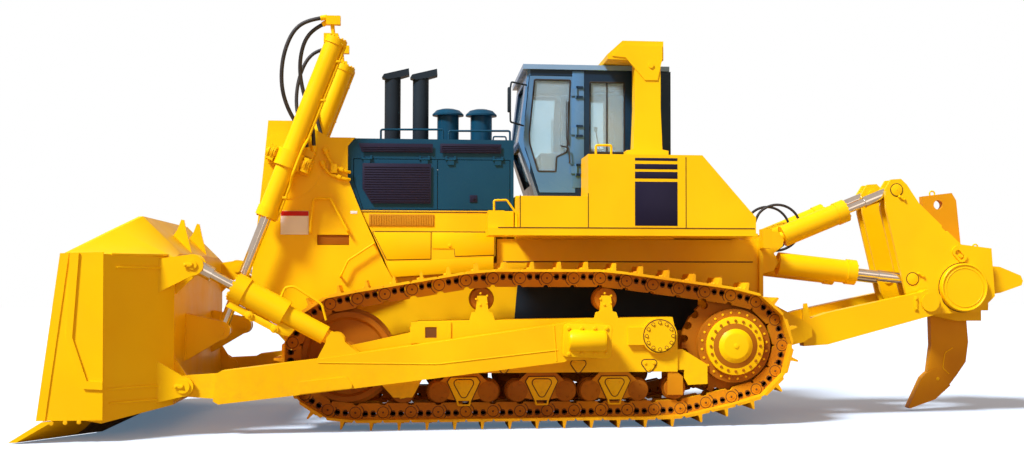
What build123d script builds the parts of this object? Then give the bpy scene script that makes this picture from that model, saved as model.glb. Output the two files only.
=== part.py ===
"""Crawler bulldozer with a semi-U blade and a single-shank ripper.

Millimetres. The machine faces -X, its left side is -Y, +Z is up and the ground is Z = 0.
The origin lies under the middle of the machine. Every piece is one STEP file in parts/.
"""
import os
from math import acos, atan2, cos, hypot, pi, radians, sin, tan

from build123d import *

os.makedirs("parts", exist_ok=True)

# ---------------------------------------------------------------- overall
front_x = -6136.0               # foremost point, the blade's end-bit tips
rear_x = 6136.0                 # rearmost point, the push block
hood_top = 3455.0
cab_top = 4376.0
rops_top = 4615.0
seat_gap = 0.3                  # running gap between pieces of one body that only rest on each other
pin_gap = 0.8                   # radial gap round a pin that turns

# ---------------------------------------------------------------- tracks
track_y = 1385.0                # centre of each track from the middle of the machine
shoe_width = 710.0
track_pitch = 318.0             # pin to pin, along the straight
ground_pins = 190.0             # height of the pins of the ground run
shoe_inner = 72.0               # shoe plate, measured outward from the line of pins
shoe_outer = 102.0
grouser_tip = 190.0
track_pin_r, track_boss_r = 32.0, 60.0
track_boss, track_pin_end = 5.0, 10.0   # how far the bosses and pins stand out of the links
bolt_window_r = 26.0            # openings in each link for the shoe bolts' nuts
rail_height = 105.0             # link rail, measured inward from the line of pins
link_out = 160.0                # outer face of the links, from the track's centre
link_in = 100.0

sprocket_x, sprocket_z = 1889.0, 940.0
sprocket_pins = 11.5            # pins round the sprocket, so that every second tooth is used
sprocket_r = track_pitch / (2 * sin(pi / sprocket_pins))
sprocket_width = 120.0
idler_r = 540.0                 # to the rail line
idler_x, idler_z = -2653.0, ground_pins + rail_height + 540.0
roller_r = 130.0
carrier_r = 130.0
carrier_xs = (-1128.0, 336.0)
carrier_z = 1501.0
bogie_xs = (-1338.0, -428.0, 432.0)
bogie_half = 283.0              # roller axle from the middle of its bogie
end_roller_xs = (-2040.0, sprocket_x - sprocket_r - 135)
frame_bottom, frame_top = 640.0, 1285.0
frame_front, frame_rear = -1960.0, sprocket_x - sprocket_r - 110
frame_half = 235.0
pivot_x, pivot_z = 964.0, 1065.0

# ---------------------------------------------------------------- hull
hull_half = 700.0
hull_front, hull_rear = -3560.0, 2400.0
hull_bottom, hull_top = 660.0, 1950.0
hull_floor = 1180.0             # inside, under the engine
hull_deck = 2235.0              # top, under the cab

# ---------------------------------------------------------------- engine hood and radiator guard
guard_half = hull_half + 120    # outer face of the radiator guard's sides
hood_half = guard_half - 40
hood_front, hood_rear = -2700.0, -705.0
hood_bottom = 2577.0
hood_wall = 30.0
cowl_bottom = 2317.0
skirt_bottom = 1955.0
guard_wall = 45.0
door_hinge_z = hood_top - 254
door_bottom_z = 2592.0
door_gap = 8.0
door_thick = 28.0
door_split_x = -1640.0
hood_hinge_y, hood_hinge_z = hood_half + 14, door_hinge_z + 4
hood_knuckle_r = 12.0
hood_knuckle_xs = {"front": (-2500.0, -1800.0), "rear": (-1480.0, -900.0)}

# ---------------------------------------------------------------- cab and roll-over frame
cab_half = 950.0
cab_wall = 60.0
cab_front_top, cab_front_mid, cab_front_low = -545.0, -650.0, -415.0
cab_mid_z = 3430.0
cab_floor = 2755.0
cab_rear = 1235.0
cab_door_rear = 40.0
door_hinge_y = cab_half + 15    # hinge line of the cab doors, outside their faces
door_knuckle_zs = (3080.0, 3560.0, 4040.0)
knuckle_r, knuckle_half = 14.0, 45.0
deck_top = 2708.0
deck_bottom = 2248.0
deck_out = cab_half + 750
tank_top = 3210.0
tank_front, tank_mid, tank_rear = 110.0, 1276.0, 2130.0
post_x0, post_x1 = 715.0, 1030.0
post_out, post_in = cab_half + 450, cab_half + 230
visor_x = 379.0                 # front lip of the roll-over frame's visor
catwalk_x = -1060.0             # front end of the walkway beside the hood

# ---------------------------------------------------------------- blade and its linkage
arm_y = 1950.0                  # centre of the push arms and pitch cylinders
arm_width = 290.0
trunnion_x, trunnion_z = 94.0, 1049.0
blade_pin_x, blade_pin_z = -4443.0, 547.0
pitch_rear_x, pitch_rear_z = -2789.0, 1035.0
pitch_front_x, pitch_front_z = -4360.0, 1890.0
lift_y = guard_half + 240
lift_trunnion_x, lift_trunnion_z = -3406.0, 3165.0
lift_eye_x, lift_eye_z = -4171.0, 1131.0
yoke_stem_r = 90.0
blade_half = 2632.0
blade_bend = 1550.0             # where the straight middle ends and the wings begin
blade_back_corner = 1930.0
blade_back = -4572.0            # the vertical back of the blade's middle
blade_foot = 12.0               # clearance of the cutting edge over the ground, as parked
blade_fin_y = 600.0             # fins that stand on the blade's sloping top

# ---------------------------------------------------------------- ripper
ripper_arm_x, ripper_arm_z = 2930.0, 1080.0
ripper_pin_x, ripper_pin_z = 4602.0, 1445.0
ripper_arm_y = 735.0
tilt_front_x, tilt_front_z = 2650.0, 2235.0
tilt_eye_x, tilt_eye_z = 4250.0, 2890.0
rlift_front_x, rlift_front_z = 2570.0, 1955.0
rlift_eye_x, rlift_eye_z = 4452.0, 1743.0
ripper_cyl_y = 480.0
shank_half = 60.0

# ---------------------------------------------------------------- hydraulic hoses
lift_hose_r = 24.0
ripper_hose_r = 17.0
ferrule_wall = 8.0
ferrule_length = 80.0


# ================================================================= helpers
def block(x0, x1, y0, y1, z0, z1):
    """A box between two corners."""
    return Pos((x0 + x1) / 2, (y0 + y1) / 2, (z0 + z1) / 2) * Box(x1 - x0, y1 - y0, z1 - z0)


def side_plate(points, y0, y1):
    """A plate with the given side outline (x, z), from y0 to y1."""
    face = make_face(Plane.XZ * Polyline(*points, close=True))
    return Pos(0, y0, 0) * extrude(face, y1 - y0, dir=(0, 1, 0))


def rod_y(x, z, r, y0, y1):
    """A round bar along Y."""
    return Solid.make_cylinder(r, y1 - y0, Plane(origin=(x, y0, z), z_dir=(0, 1, 0)))


def rod(start, end, r):
    """A round bar between two points."""
    a, b = Vector(*start), Vector(*end)
    return Solid.make_cylinder(r, (b - a).length, Plane(origin=a, z_dir=b - a))


def other_side(shape):
    """The same piece on the machine's other side."""
    return mirror(shape, Plane.XZ)


def both(shape):
    """The piece and its twin on the other side, as solids of one node."""
    return Compound(children=[*solids_of(shape), *solids_of(other_side(shape))])


def solids_of(shape):
    """The solids of a shape, as a plain list."""
    return list(shape.solids())


def save(name, shape):
    """Writes one piece to its STEP file."""
    export_step(Compound(children=solids_of(shape)), f"parts/{name}.step")


def along(x0, z0, x1, z1):
    """A function that gives the point at a distance from the first end towards the second."""
    length = hypot(x1 - x0, z1 - z0)
    ux, uz = (x1 - x0) / length, (z1 - z0) / length

    def point(distance, offset=0.0):
        return (x0 + ux * distance - uz * offset, z0 + uz * distance + ux * offset)

    return point, length


def bar(point, y, r, start, end):
    """A round bar on a cylinder's axis, from one distance to another."""
    (x0, z0), (x1, z1) = point(start), point(end)
    return rod((x0, y, z0), (x1, y, z1), r)


def rounded_plate(points, corner_r, y0, y1):
    """A plate whose outline is the given one grown by a corner radius."""
    face = offset(make_face(Polyline(*points, close=True)), corner_r)
    return Pos(0, y0, 0) * extrude(Plane.XZ * face, y1 - y0, dir=(0, 1, 0))


def disc_with_bolts(x, z, r, bolt_r, count, y0, y1, head):
    """A round cover with a ring of bolt heads that stand out towards -Y."""
    cover = rod_y(x, z, r, y0, y1)
    for k in range(count):
        angle = 2 * pi * k / count
        cover += rod_y(x + (r - 1.8 * bolt_r) * cos(angle), z + (r - 1.8 * bolt_r) * sin(angle), bolt_r,
                       y0 - head, y1)
    return cover


def hose(points, r):
    """A hose along straight runs joined by tangent arcs, each as large as its runs allow."""
    corners = [Vector(*point) for point in points]
    radii = []
    for a, b, c in zip(corners, corners[1:], corners[2:]):
        half_turn = radians((b - a).get_angle(c - b)) / 2
        radii.append(0.45 * min((b - a).length, (c - b).length) / tan(half_turn))
    path = FilletPolyline(*corners, radius=radii)
    tube = sweep(Plane(origin=path @ 0, z_dir=path % 0) * Circle(r), path=path)
    print("hose radii", [round(r) for r in radii], "length", round(path.length),
          "volume ratio", round(tube.volume / (pi * r**2 * path.length), 4))
    return tube


def ferrule(inner, outer, hose_r):
    """The crimped end of a hose: a short sleeve that ends at the hose's first point."""
    end, beyond = Vector(*inner), Vector(*outer)
    return Solid.make_cylinder(hose_r + ferrule_wall, ferrule_length, Plane(origin=end, z_dir=end - beyond))


# ================================================================= track chain
def belt(front_wheel_x):
    """The line of pins: arcs round the wheels joined by tangents, from the sprocket's rear point."""
    wheels = [
        (sprocket_x, sprocket_z, sprocket_r),
        (carrier_xs[1], carrier_z, carrier_r + rail_height + carrier_lift),
        (carrier_xs[0], carrier_z, carrier_r + rail_height + carrier_lift),
        (front_wheel_x, idler_z, idler_r + rail_height),
        (end_roller_xs[1], ground_pins + roller_r + rail_height, roller_r + rail_height),
    ]
    pieces, angle = [], 0.0
    for k, (x0, z0, r0) in enumerate(wheels):
        x1, z1, r1 = wheels[(k + 1) % len(wheels)]
        span = hypot(x1 - x0, z1 - z0)
        leave = atan2(z1 - z0, x1 - x0) - acos((r0 - r1) / span)
        while leave < angle - 1e-9:
            leave += 2 * pi
        pieces.append(("arc", x0, z0, r0, angle, (leave - angle) * r0))
        tangent = (span**2 - (r0 - r1) ** 2) ** 0.5
        pieces.append(("line", x0 + r0 * cos(leave), z0 + r0 * sin(leave), 0.0, leave + pi / 2, tangent))
        angle = leave
    pieces.append(("arc", sprocket_x, sprocket_z, sprocket_r, angle,
                   (2 * pi - angle % (2 * pi)) * sprocket_r))
    return pieces


def belt_point(pieces, distance):
    """The point at a distance along the line of pins."""
    distance %= sum(p[5] for p in pieces)
    for kind, x, z, r, angle, length in pieces:
        if distance <= length:
            if kind == "arc":
                return x + r * cos(angle + distance / r), z + r * sin(angle + distance / r)
            return x + distance * cos(angle), z + distance * sin(angle)
        distance -= length
    return x, z


def next_pin(pieces, distance):
    """The distance at which the next pin stands, one pitch away in a straight line."""
    x, z = belt_point(pieces, distance)
    low, high = distance + 0.9 * track_pitch, distance + 1.1 * track_pitch
    for _ in range(40):
        middle = (low + high) / 2
        px, pz = belt_point(pieces, middle)
        if hypot(px - x, pz - z) < track_pitch:
            low = middle
        else:
            high = middle
    return low


def walk(front_wheel_x, links):
    """Pin positions of so many links, and how far past the start the last one ends."""
    pieces = belt(front_wheel_x)
    distances = [0.0]
    for _ in range(links):
        distances.append(next_pin(pieces, distances[-1]))
    overshoot = distances[-1] - sum(p[5] for p in pieces)
    return [belt_point(pieces, d) for d in distances[:-1]], overshoot


def close_chain():
    """The number of links, the idler's place that closes the chain, and the pins."""
    links = round(sum(p[5] for p in belt(idler_x)) / track_pitch)
    low, high = idler_x - track_pitch, idler_x + track_pitch
    for _ in range(40):
        middle = (low + high) / 2
        if walk(middle, links)[1] > 0:
            high = middle
        else:
            low = middle
    return links, low, walk(low, links)[0]


carrier_lift = track_pitch / 26.5  # the chain bends over the carriers in corners, so the pins run higher
link_count, idler_at, pins = close_chain()
idler_tread = ((idler_r + rail_height) ** 2 - (track_pitch / 2) ** 2) ** 0.5 - rail_height - 1.0


def chain_outline(marks):
    """A closed outline that follows the chain: marks are (along the link, outward) in each link."""
    outline = []
    for k, (x0, z0) in enumerate(pins):
        x1, z1 = pins[(k + 1) % len(pins)]
        length = hypot(x1 - x0, z1 - z0)
        ux, uz = (x1 - x0) / length, (z1 - z0) / length
        for t, out in marks:
            outline.append((x0 + ux * t + uz * out, z0 + uz * t - ux * out))
    return outline


def chain_ring(outer_marks, inner_marks, y0, y1):
    """The solid between two outlines that follow the chain."""
    outer = side_plate(chain_outline(outer_marks), y0, y1)
    return outer - side_plate(chain_outline(inner_marks), y0 - 1, y1 + 1)


def track():
    """One closed chain of links with its pins, shoes and grousers, on the left."""
    p = track_pitch
    shoe = [(2, shoe_inner + 4), (8, shoe_outer - 10), (22, shoe_outer), (0.52 * p, shoe_outer),
            (0.55 * p, grouser_tip), (0.61 * p, grouser_tip), (0.67 * p, shoe_outer), (p - 18, shoe_outer),
            (p - 2, shoe_inner + 4)]
    rail = [(30, -rail_height + 21), (45, -rail_height), (p - 45, -rail_height),
            (p - 30, -rail_height + 21),
            (p, -rail_height + 27)]
    half = shoe_width / 2
    loop = chain_ring(shoe, [(0, shoe_inner)], -track_y - half, -track_y + half)
    for side in (-1, 1):
        y0, y1 = sorted((side * link_in, side * link_out))
        loop += chain_ring([(0, shoe_inner + 2)], rail, -track_y + y0, -track_y + y1)
    return loop + track_pins() - bolt_windows()


def track_pins():
    """The chain's pins, each with the bosses of the links on both ends."""
    boss_end, pin_end = link_out + track_boss, link_out + track_pin_end
    profile = [(0, -pin_end), (track_pin_r, -pin_end), (track_pin_r, -boss_end), (track_boss_r, -boss_end),
               (track_boss_r, -link_out + 2), (track_pin_r, -link_out + 2), (track_pin_r, link_out - 2),
               (track_boss_r, link_out - 2), (track_boss_r, boss_end), (track_pin_r, boss_end),
               (track_pin_r, pin_end), (0, pin_end)]
    pin = revolve(make_face(Plane.XY * Polyline(*profile, close=True)), Axis.Y)
    return [Pos(x, -track_y, z) * pin for x, z in pins]


def bolt_windows():
    """Two openings through every link, where the shoe bolts' nuts sit."""
    windows = []
    for k, (x0, z0) in enumerate(pins):
        x1, z1 = pins[(k + 1) % len(pins)]
        ux, uz = (x1 - x0) / track_pitch, (z1 - z0) / track_pitch
        for t, out in ((0.32 * track_pitch, 20), (0.68 * track_pitch, 20)):
            windows.append(rod_y(x0 + ux * t + uz * out, z0 + uz * t - ux * out, bolt_window_r,
                                 -track_y - link_out - 1, -track_y + link_out + 1))
    return windows


def sprocket():
    """Sprocket ring with a pocket for each pin, its web, and the final drive's hub and cap."""
    teeth = round(2 * sprocket_pins)
    pocket = 48.0
    half = sprocket_width / 2
    y = -track_y
    ring = rod_y(sprocket_x, sprocket_z, sprocket_r + 26, y - half, y + half)
    pockets = [
        rod_y(sprocket_x + sprocket_r * cos(2 * pi * k / teeth),
              sprocket_z + sprocket_r * sin(2 * pi * k / teeth),
              pocket, y - half - 1, y + half + 1)
        for k in range(teeth)
    ]
    profile = [(0, -265), (200, -265), (320, -235), (330, -185), (440, -175), (440, -60), (0, -60)]
    face = make_face(Plane.XY * Polyline(*profile, close=True))
    hub = revolve(face, Axis.Y)
    hub = Pos(sprocket_x, y, sprocket_z) * hub
    return (ring - pockets) + hub


def final_drive():
    """Housing between the hull and the sprocket."""
    y_in, y_out = -hull_half - seat_gap, -track_y + sprocket_width / 2
    drum = rod_y(sprocket_x, sprocket_z, 440, y_out, -1010) + rod_y(sprocket_x, sprocket_z, 500, -1010,
                                                                    y_in)
    return drum


def idler():
    """Front idler: two treads for the rails and a flange between them."""
    profile = [(0, -165), (150, -165), (180, -120), (430, -120), (460, -165), (idler_tread, -165),
               (idler_tread, -92), (idler_tread + 42, -80), (idler_tread + 42, 80), (idler_tread, 92),
               (idler_tread, 165), (460, 165), (430, 120), (180, 120), (150, 165), (0, 165)]
    wheel = revolve(make_face(Plane.XY * Polyline(*profile, close=True)), Axis.Y)
    return Pos(idler_at, -track_y, idler_z) * wheel


roller_half = 165.0


def roller(x, z, r, half=roller_half):
    """A track roller: two treads with flanges outside and between the rails."""
    profile = [(0, -half), (r - 12, -half), (r - 1, link_in * -1 - 62), (r - 1, -link_in + 6),
               (r + 16, -link_in + 18),
               (r + 16, link_in - 18), (r - 1, link_in - 6), (r - 1, link_in + 62), (r - 12, half),
               (0, half)]
    wheel = revolve(make_face(Plane.XY * Polyline(*profile, close=True)), Axis.Y)
    return Pos(x, -track_y, z) * wheel


roller_z = ground_pins + rail_height + roller_r
last_roller_lift = 16.0         # the chain bends up towards the sprocket there
roller_xs = [end_roller_xs[0], *[x + s * bogie_half for x in bogie_xs for s in (-1, 1)], end_roller_xs[1]]


def track_rollers():
    """The eight lower rollers of the left frame; the rearmost sits a little higher."""
    wheels = [roller(x, roller_z, roller_r) for x in roller_xs[:-1]]
    return Compound(children=[*wheels, roller(roller_xs[-1], roller_z + last_roller_lift, roller_r)])


def bogies():
    """Side plates that carry the rollers in pairs, with the end rollers' brackets."""
    solids = []
    top = frame_bottom - seat_gap
    for side in (-1, 1):
        y0, y1 = sorted((-track_y + side * (roller_half + seat_gap), -track_y + side * 222))
        for x in bogie_xs:
            b = bogie_half
            shape = [(x - b - 60, roller_z - 55), (x - 120, roller_z - 95), (x + 120, roller_z - 95),
                     (x + b + 60, roller_z - 55), (x + b + 60, roller_z + 50), (x + 170, top),
                     (x - 170, top),
                     (x - b - 60, roller_z + 50)]
            plate = side_plate(shape, y0, y1)
            outside = -track_y + side * 222
            cap0, cap1 = sorted((outside - side * 2, outside + side * 14))
            plate += rounded_plate([(x - 62, 425), (x + 62, 425), (x, 535)], 38, cap0, cap1)
            bolt0, bolt1 = sorted((outside, outside + side * 26))
            for dx, z in ((-62, 425), (62, 425), (0, 535)):
                plate += rod_y(x + dx, z, 17, bolt0, bolt1)
            solids.append(plate)
        x = end_roller_xs[1]
        solids.append(side_plate([(x - 90, roller_z - 60), (x + 90, roller_z - 60), (x + 90, top - 60),
                                  (x + 20, top),
                                  (x - 90, top)], y0, y1))
    return Compound(children=solids)


def track_frame():
    """Box-section frame of one track, with the idler's fork, the roller brackets and the pivot cover."""
    y = -track_y
    outline = [(frame_front, 700), (frame_front + 160, frame_bottom), (frame_rear, frame_bottom),
               (frame_rear, 1010), (frame_rear - 60, frame_top), (frame_front + 90, frame_top - 40),
               (frame_front, 1180)]
    frame = side_plate(outline, y - frame_half, y + frame_half)
    for side in (-1, 1):
        y0, y1 = sorted((y + side * 175, y + side * 232))
        fork = [(frame_front + 60, 1130), (idler_at + 240, 1010), (idler_at - 110, 940),
                (idler_at - 150, idler_z),
                (idler_at - 110, 730), (idler_at + 240, 690), (end_roller_xs[0] - 110, roller_z - 60),
                (end_roller_xs[0] + 110, roller_z - 60), (frame_front + 190, frame_bottom + 20)]
        frame += side_plate(fork, y0, y1)
    for x, z in ((idler_at, idler_z), (end_roller_xs[0], roller_z)):
        frame += rod_y(x, z, 70, y - 232, y - roller_half - seat_gap)
        frame += rod_y(x, z, 70, y + roller_half + seat_gap, y + 232)
    for x in carrier_xs:
        foot = [(x - 150, frame_top - 40), (x - 120, frame_top + 60), (x - 75, frame_top + 70),
                (x - 55, carrier_z + 40),
                (x + 55, carrier_z + 40), (x + 75, frame_top + 70), (x + 120, frame_top + 60),
                (x + 150, frame_top - 40)]
        frame += side_plate(foot, y - 235, y - 175)
        frame += rod_y(x, carrier_z, 45, y - 180, y - 165 - seat_gap)
    outside = y - frame_half
    frame += rod_y(pivot_x, pivot_z, 212, outside - 60, y)
    frame += disc_with_bolts(pivot_x, pivot_z, 185, 15, 12, outside - 80, outside, 14)
    frame += block(pivot_x - 370, pivot_x - 120, outside - 55, y, pivot_z - 105, pivot_z + 100)
    recoil = block(-1950, -1490, outside - 16, y, 990, 1235) - block(-1790, -1650, outside - 17,
                                                                     outside - 6, 1050, 1180)
    frame += recoil
    for x in (-873, 4, 847):
        frame += rounded_plate([(x - 50, 745), (x + 50, 745), (x, 675)], 34, outside - 14, y)
        for dx, z in ((-50, 745), (50, 745), (0, 675)):
            frame += rod_y(x + dx, z, 15, outside - 26, outside)
    guard = [(frame_rear - 60, 660), (frame_rear - 60, 900), (frame_rear + 60, 905),
             (frame_rear + 365, 720),
             (frame_rear + 365, 490), (frame_rear + 130, 480), (frame_rear + 85, 560),
             (frame_rear + 85, 660)]
    frame += side_plate(guard, y - 212, y - 180)
    return frame + trunnion()


def trunnion():
    """Pin on the track frame that the push arm turns on, with its retaining cap."""
    y_in = -track_y - frame_half + 20
    pin = rod_y(trunnion_x, trunnion_z, 120, -arm_y - arm_width / 2 - 30, y_in)
    pin += rod_y(trunnion_x, trunnion_z, 170, -arm_y - arm_width / 2 - 60, -arm_y - arm_width / 2 - 8)
    pin += rod_y(trunnion_x, trunnion_z, 200, -arm_y + arm_width / 2 + 8, y_in)
    return pin


def carrier_rollers():
    """The two upper rollers that carry the slack chain."""
    solids = []
    for x in carrier_xs:
        solids.append(roller(x, carrier_z, carrier_r))
    return Compound(children=solids)


# ================================================================= hull
def main_frame():
    """Welded hull between the tracks, with the bevel-gear case behind and the pivot shaft."""
    outline = [(hull_front, 1080), (hull_front + 350, hull_bottom + 40), (hull_front + 900, hull_bottom),
               (hull_rear - 700, hull_bottom), (hull_rear, hull_bottom + 260), (hull_rear, hull_deck),
               (-905, hull_deck), (-905, hull_top - 10), (hull_front + 900, 1700), (hull_front, 1700)]
    hull = side_plate(outline, -hull_half, hull_half)
    tunnel = block(-2900, -790, -hull_half + 90, hull_half - 90, hull_floor, 2300)
    hull -= tunnel
    hull += rod_y(pivot_x, pivot_z, 150, -track_y + frame_half + seat_gap, track_y - frame_half - seat_gap)
    return hull


def equalizer_bar():
    """Cross beam in front that lets the two track frames rock."""
    z = 860
    bar_shape = [(-1660, z - 110), (-1420, z - 110), (-1420, z + 120), (-1660, z + 120)]
    y = track_y - frame_half - seat_gap
    return side_plate(bar_shape, -y, -hull_half - seat_gap) + side_plate(bar_shape, hull_half + seat_gap, y)


def rear_bracket():
    """Cast bracket on the hull's rear face that carries the ripper's arms and cylinders."""
    x0 = hull_rear + seat_gap
    solids = [block(x0, x0 + 50, -760, 760, 900, 2230)]
    for side in (-1, 1):
        y = side * ripper_arm_y
        for s in (-1, 1):
            y0, y1 = sorted((y + s * 105, y + s * 165))
            ear = [(x0, 820), (ripper_arm_x, ripper_arm_z - 130), (ripper_arm_x + 110, ripper_arm_z - 60),
                   (ripper_arm_x + 110, ripper_arm_z + 70), (ripper_arm_x, ripper_arm_z + 140), (x0, 1500)]
            solids.append(side_plate(ear, y0, y1))
        solids.append(rod_y(ripper_arm_x, ripper_arm_z, 60, y - 165, y + 165))
        y0, y1 = sorted((side * 755, side * 960))
        solids.append(block(x0, x0 + 115, y0, y1, 2125, 2365))
        for s in (-1, 1):
            y0, y1 = sorted((side * ripper_cyl_y + s * 75, side * ripper_cyl_y + s * 120))
            ear = [(x0, 1780), (rlift_front_x + 55, 1850), (rlift_front_x + 115, 1955),
                   (rlift_front_x + 60, 2070),
                   (tilt_front_x + 95, 2160), (tilt_front_x + 110, 2240), (tilt_front_x + 50, 2330),
                   (tilt_front_x - 60, 2350), (x0, 2225)]
            solids.append(side_plate(ear, y0, y1))
        for x, z in ((rlift_front_x, rlift_front_z), (tilt_front_x, tilt_front_z)):
            solids.append(rod_y(x, z, 45, side * ripper_cyl_y - 120, side * ripper_cyl_y + 120))
        for first, second in RIPPER_HOSE_ENDS:
            solids.append(mirrored_to(side, ferrule(first, second, ripper_hose_r)))
    solids.append(block(x0, x0 + 90, -330, 330, 1960, 2330))
    body = solids[0]
    for s in solids[1:]:
        body += s
    return body


def mirrored_to(side, left):
    """The left piece, or its mirror image when the side is +1."""
    return left if side < 0 else other_side(left)


RIPPER_HOSE = [(2450, -250, 2405), (2486, -252, 2551), (2586, -258, 2662), (2732, -266, 2715),
               (2885, -272, 2693),
               (3006, -274, 2605), (3070, -270, 2475), (3065, -262, 2330), (2992, -250, 2204),
               (2865, -238, 2125),
               (2707, -228, 2103), (2557, -222, 2099)]
RIPPER_HOSE_ENDS = ((RIPPER_HOSE[0], RIPPER_HOSE[1]), (RIPPER_HOSE[-1], RIPPER_HOSE[-2]))


def engine_block():
    """The engine as one block under the hood, as wide as the bay leaves it."""
    return block(-2480, -820, -420, 420, hull_floor + seat_gap, 3050)


# ================================================================= radiator guard
guard_front = [(-3880, 1230), (-3873, 1629), (-3733, 3050), (-3680, hood_top + 200)]


def radiator_guard():
    """Heavy welded housing round the radiator, open in front for the grille."""
    rear = [(-3300, hood_top + 200), (-2953, hood_top + 4), (-2642, hood_top + 4), (-2728, hood_top - 95),
            (-2728, 2966), (-2574, 2577),
            (-2278, 1920), (-2170, 1720), (-2170, 1640), (-3200, 1230)]
    shell = side_plate(guard_front + rear, -guard_half, guard_half)
    inside = [(-4000, 1330), (-4000, hood_top + 65), (-3300, hood_top + 65), (-2980, hood_top - 55),
              (-2820, hood_top - 55), (-2820, 2950),
              (-2700, 2600), (-2500, 1760), (-2500, 1700), (-3240, 1700), (-3240, 1330)]
    shell -= side_plate(inside, -guard_half + guard_wall, guard_half - guard_wall)
    notch = hull_half + seat_gap
    shell -= block(-2900, -2000, -notch, notch, 1700, 3400)
    shell -= block(hull_front - 10, -2000, -notch, notch, 1100, 1705)
    boss = rod_y(lift_trunnion_x, lift_trunnion_z, 210, -guard_half - 18, -guard_half + guard_wall)
    shell += boss
    shell += other_side(boss)
    pad = rod_y(lift_trunnion_x - 40, lift_trunnion_z - 60, 400, -guard_half - 8, -guard_half + guard_wall)
    pad &= side_plate(guard_front + rear, -guard_half - 10, -guard_half + guard_wall)
    shell += pad
    shell += other_side(pad)
    for y0, y1 in ((-guard_half - 1, -notch), (notch, guard_half + 1)):
        shell -= block(-3087, -2705, y0, y1, 2150, 2275)
    return shell - rod_y(lift_trunnion_x, lift_trunnion_z, yoke_stem_r + pin_gap, -guard_half - 30,
                         guard_half + 30)


def radiator_grille():
    """Front frame with sloping slats, set in the guard's mouth."""
    y = guard_half - guard_wall - seat_gap
    frame = side_plate([(-3845, 1335), (-3835, 1629), (-3700, 3050), (-3655, 3515), (-3605, 3515),
                        (-3650, 3050),
                        (-3785, 1629), (-3795, 1335)], -y, y)
    slots = []
    rows = 14
    for k in range(rows):
        z0 = 1420 + k * 148
        slots.append(block(-3900, -3550, -y + 70, -35, z0, z0 + 105))
        slots.append(block(-3900, -3550, 35, y - 70, z0, z0 + 105))
    return frame - slots


def radiator_core():
    """The cooling core inside the guard."""
    y = guard_half - guard_wall - seat_gap
    return block(-3560, -3330, -y, y, 1720, 3500)


# ================================================================= hood
def hood_shell():
    """Engine hood: roof and sides with four door openings."""
    g = seat_gap
    outline = [(-2642 + g, hood_top), (-2728 + g, hood_top - 95), (-2728 + g, 2966),
               (-2574 + g, hood_bottom), (hood_rear, hood_bottom),
               (hood_rear, hood_top)]
    shell = side_plate(outline, -hood_half, hood_half)
    inner = [(-2560, hood_top - hood_wall), (-2680, hood_top - 115), (-2680, 2980),
             (-2480, hood_bottom - 1),
             (hood_rear - hood_wall, hood_bottom - 1), (hood_rear - hood_wall, hood_top - hood_wall)]
    shell -= side_plate(inner, -hood_half + hood_wall, hood_half - hood_wall)
    for door in DOOR_OUTLINES.values():
        hole = grow(door, door_gap)
        shell -= side_plate(hole, -hood_half - 1, -hood_half + hood_wall + 1)
        shell -= side_plate(hole, hood_half - hood_wall - 1, hood_half + 1)
    shell -= block(-2800, -2560, -650, 650, hood_bottom - 5, hood_top - 80)
    return shell + hood_hinges() + other_side(hood_hinges())


DOOR_OUTLINES = {
    "front": [(-2655, door_hinge_z), (door_split_x - door_gap / 2, door_hinge_z),
              (door_split_x - door_gap / 2, door_bottom_z),
              (-2540, door_bottom_z), (-2655, 2950)],
    "rear": [(door_split_x + door_gap / 2, door_hinge_z), (-755, door_hinge_z), (-755, door_bottom_z),
             (door_split_x + door_gap / 2, door_bottom_z)],
}


def grow(points, gap):
    """The outline moved outward by a gap on every side."""
    face = make_face(Polyline(*points, close=True))
    grown = offset(face, gap, kind=Kind.INTERSECTION)
    return [((edge @ 0).X, (edge @ 0).Y) for edge in grown.faces()[0].outer_wire().order_edges()]


def engine_door(which):
    """A hood side door with the knuckles of its hinge."""
    door = side_plate(DOOR_OUTLINES[which], -hood_half, -hood_half + door_thick)
    for x in hood_knuckle_xs[which]:
        y, z = -hood_hinge_y, hood_hinge_z
        leaf = rod((x - 40, y, z), (x + 40, y, z), hood_knuckle_r)
        leaf += block(x - 40, x + 40, y - 6, -hood_half + 3, door_hinge_z - 60, door_hinge_z)
        leaf += block(x - 40, x + 40, y - 6, y + 6, door_hinge_z - 20, z)
        door += leaf - rod((x - 41, y, z), (x + 41, y, z), 6 + pin_gap)
    return door


def hood_hinges():
    """Fixed ears and pins of the engine doors' hinges, on the left."""
    ears = None
    y, z = -hood_hinge_y, hood_hinge_z
    for xs in hood_knuckle_xs.values():
        for x in xs:
            ear = rod((x - 65, y, z), (x + 65, y, z), 6)
            for x0 in (x - 65, x + 40 + pin_gap):
                x1 = x0 + 25 - pin_gap
                ear += rod((x0, y, z), (x1, y, z), hood_knuckle_r)
                ear += block(x0, x1, y - 6, -hood_half + 3, z + 4, z + 45) + block(x0, x1, y - 6, y + 6,
                                                                                   z, z + 20)
            ears = ear if ears is None else ears + ear
    return ears


def side_cowls():
    """Yellow panels below the hood, with the access covers' outline."""
    top = hood_bottom - seat_gap
    upper = [(-2574 + seat_gap, top), (-2440, cowl_bottom), (-2278, 1965), (-2150, skirt_bottom),
             (-930, 2020),
             (-930, cowl_bottom), (hood_rear, cowl_bottom), (hood_rear, top)]
    left = side_plate(upper, -hood_half, -hood_half + 35)
    return both(left)


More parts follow.
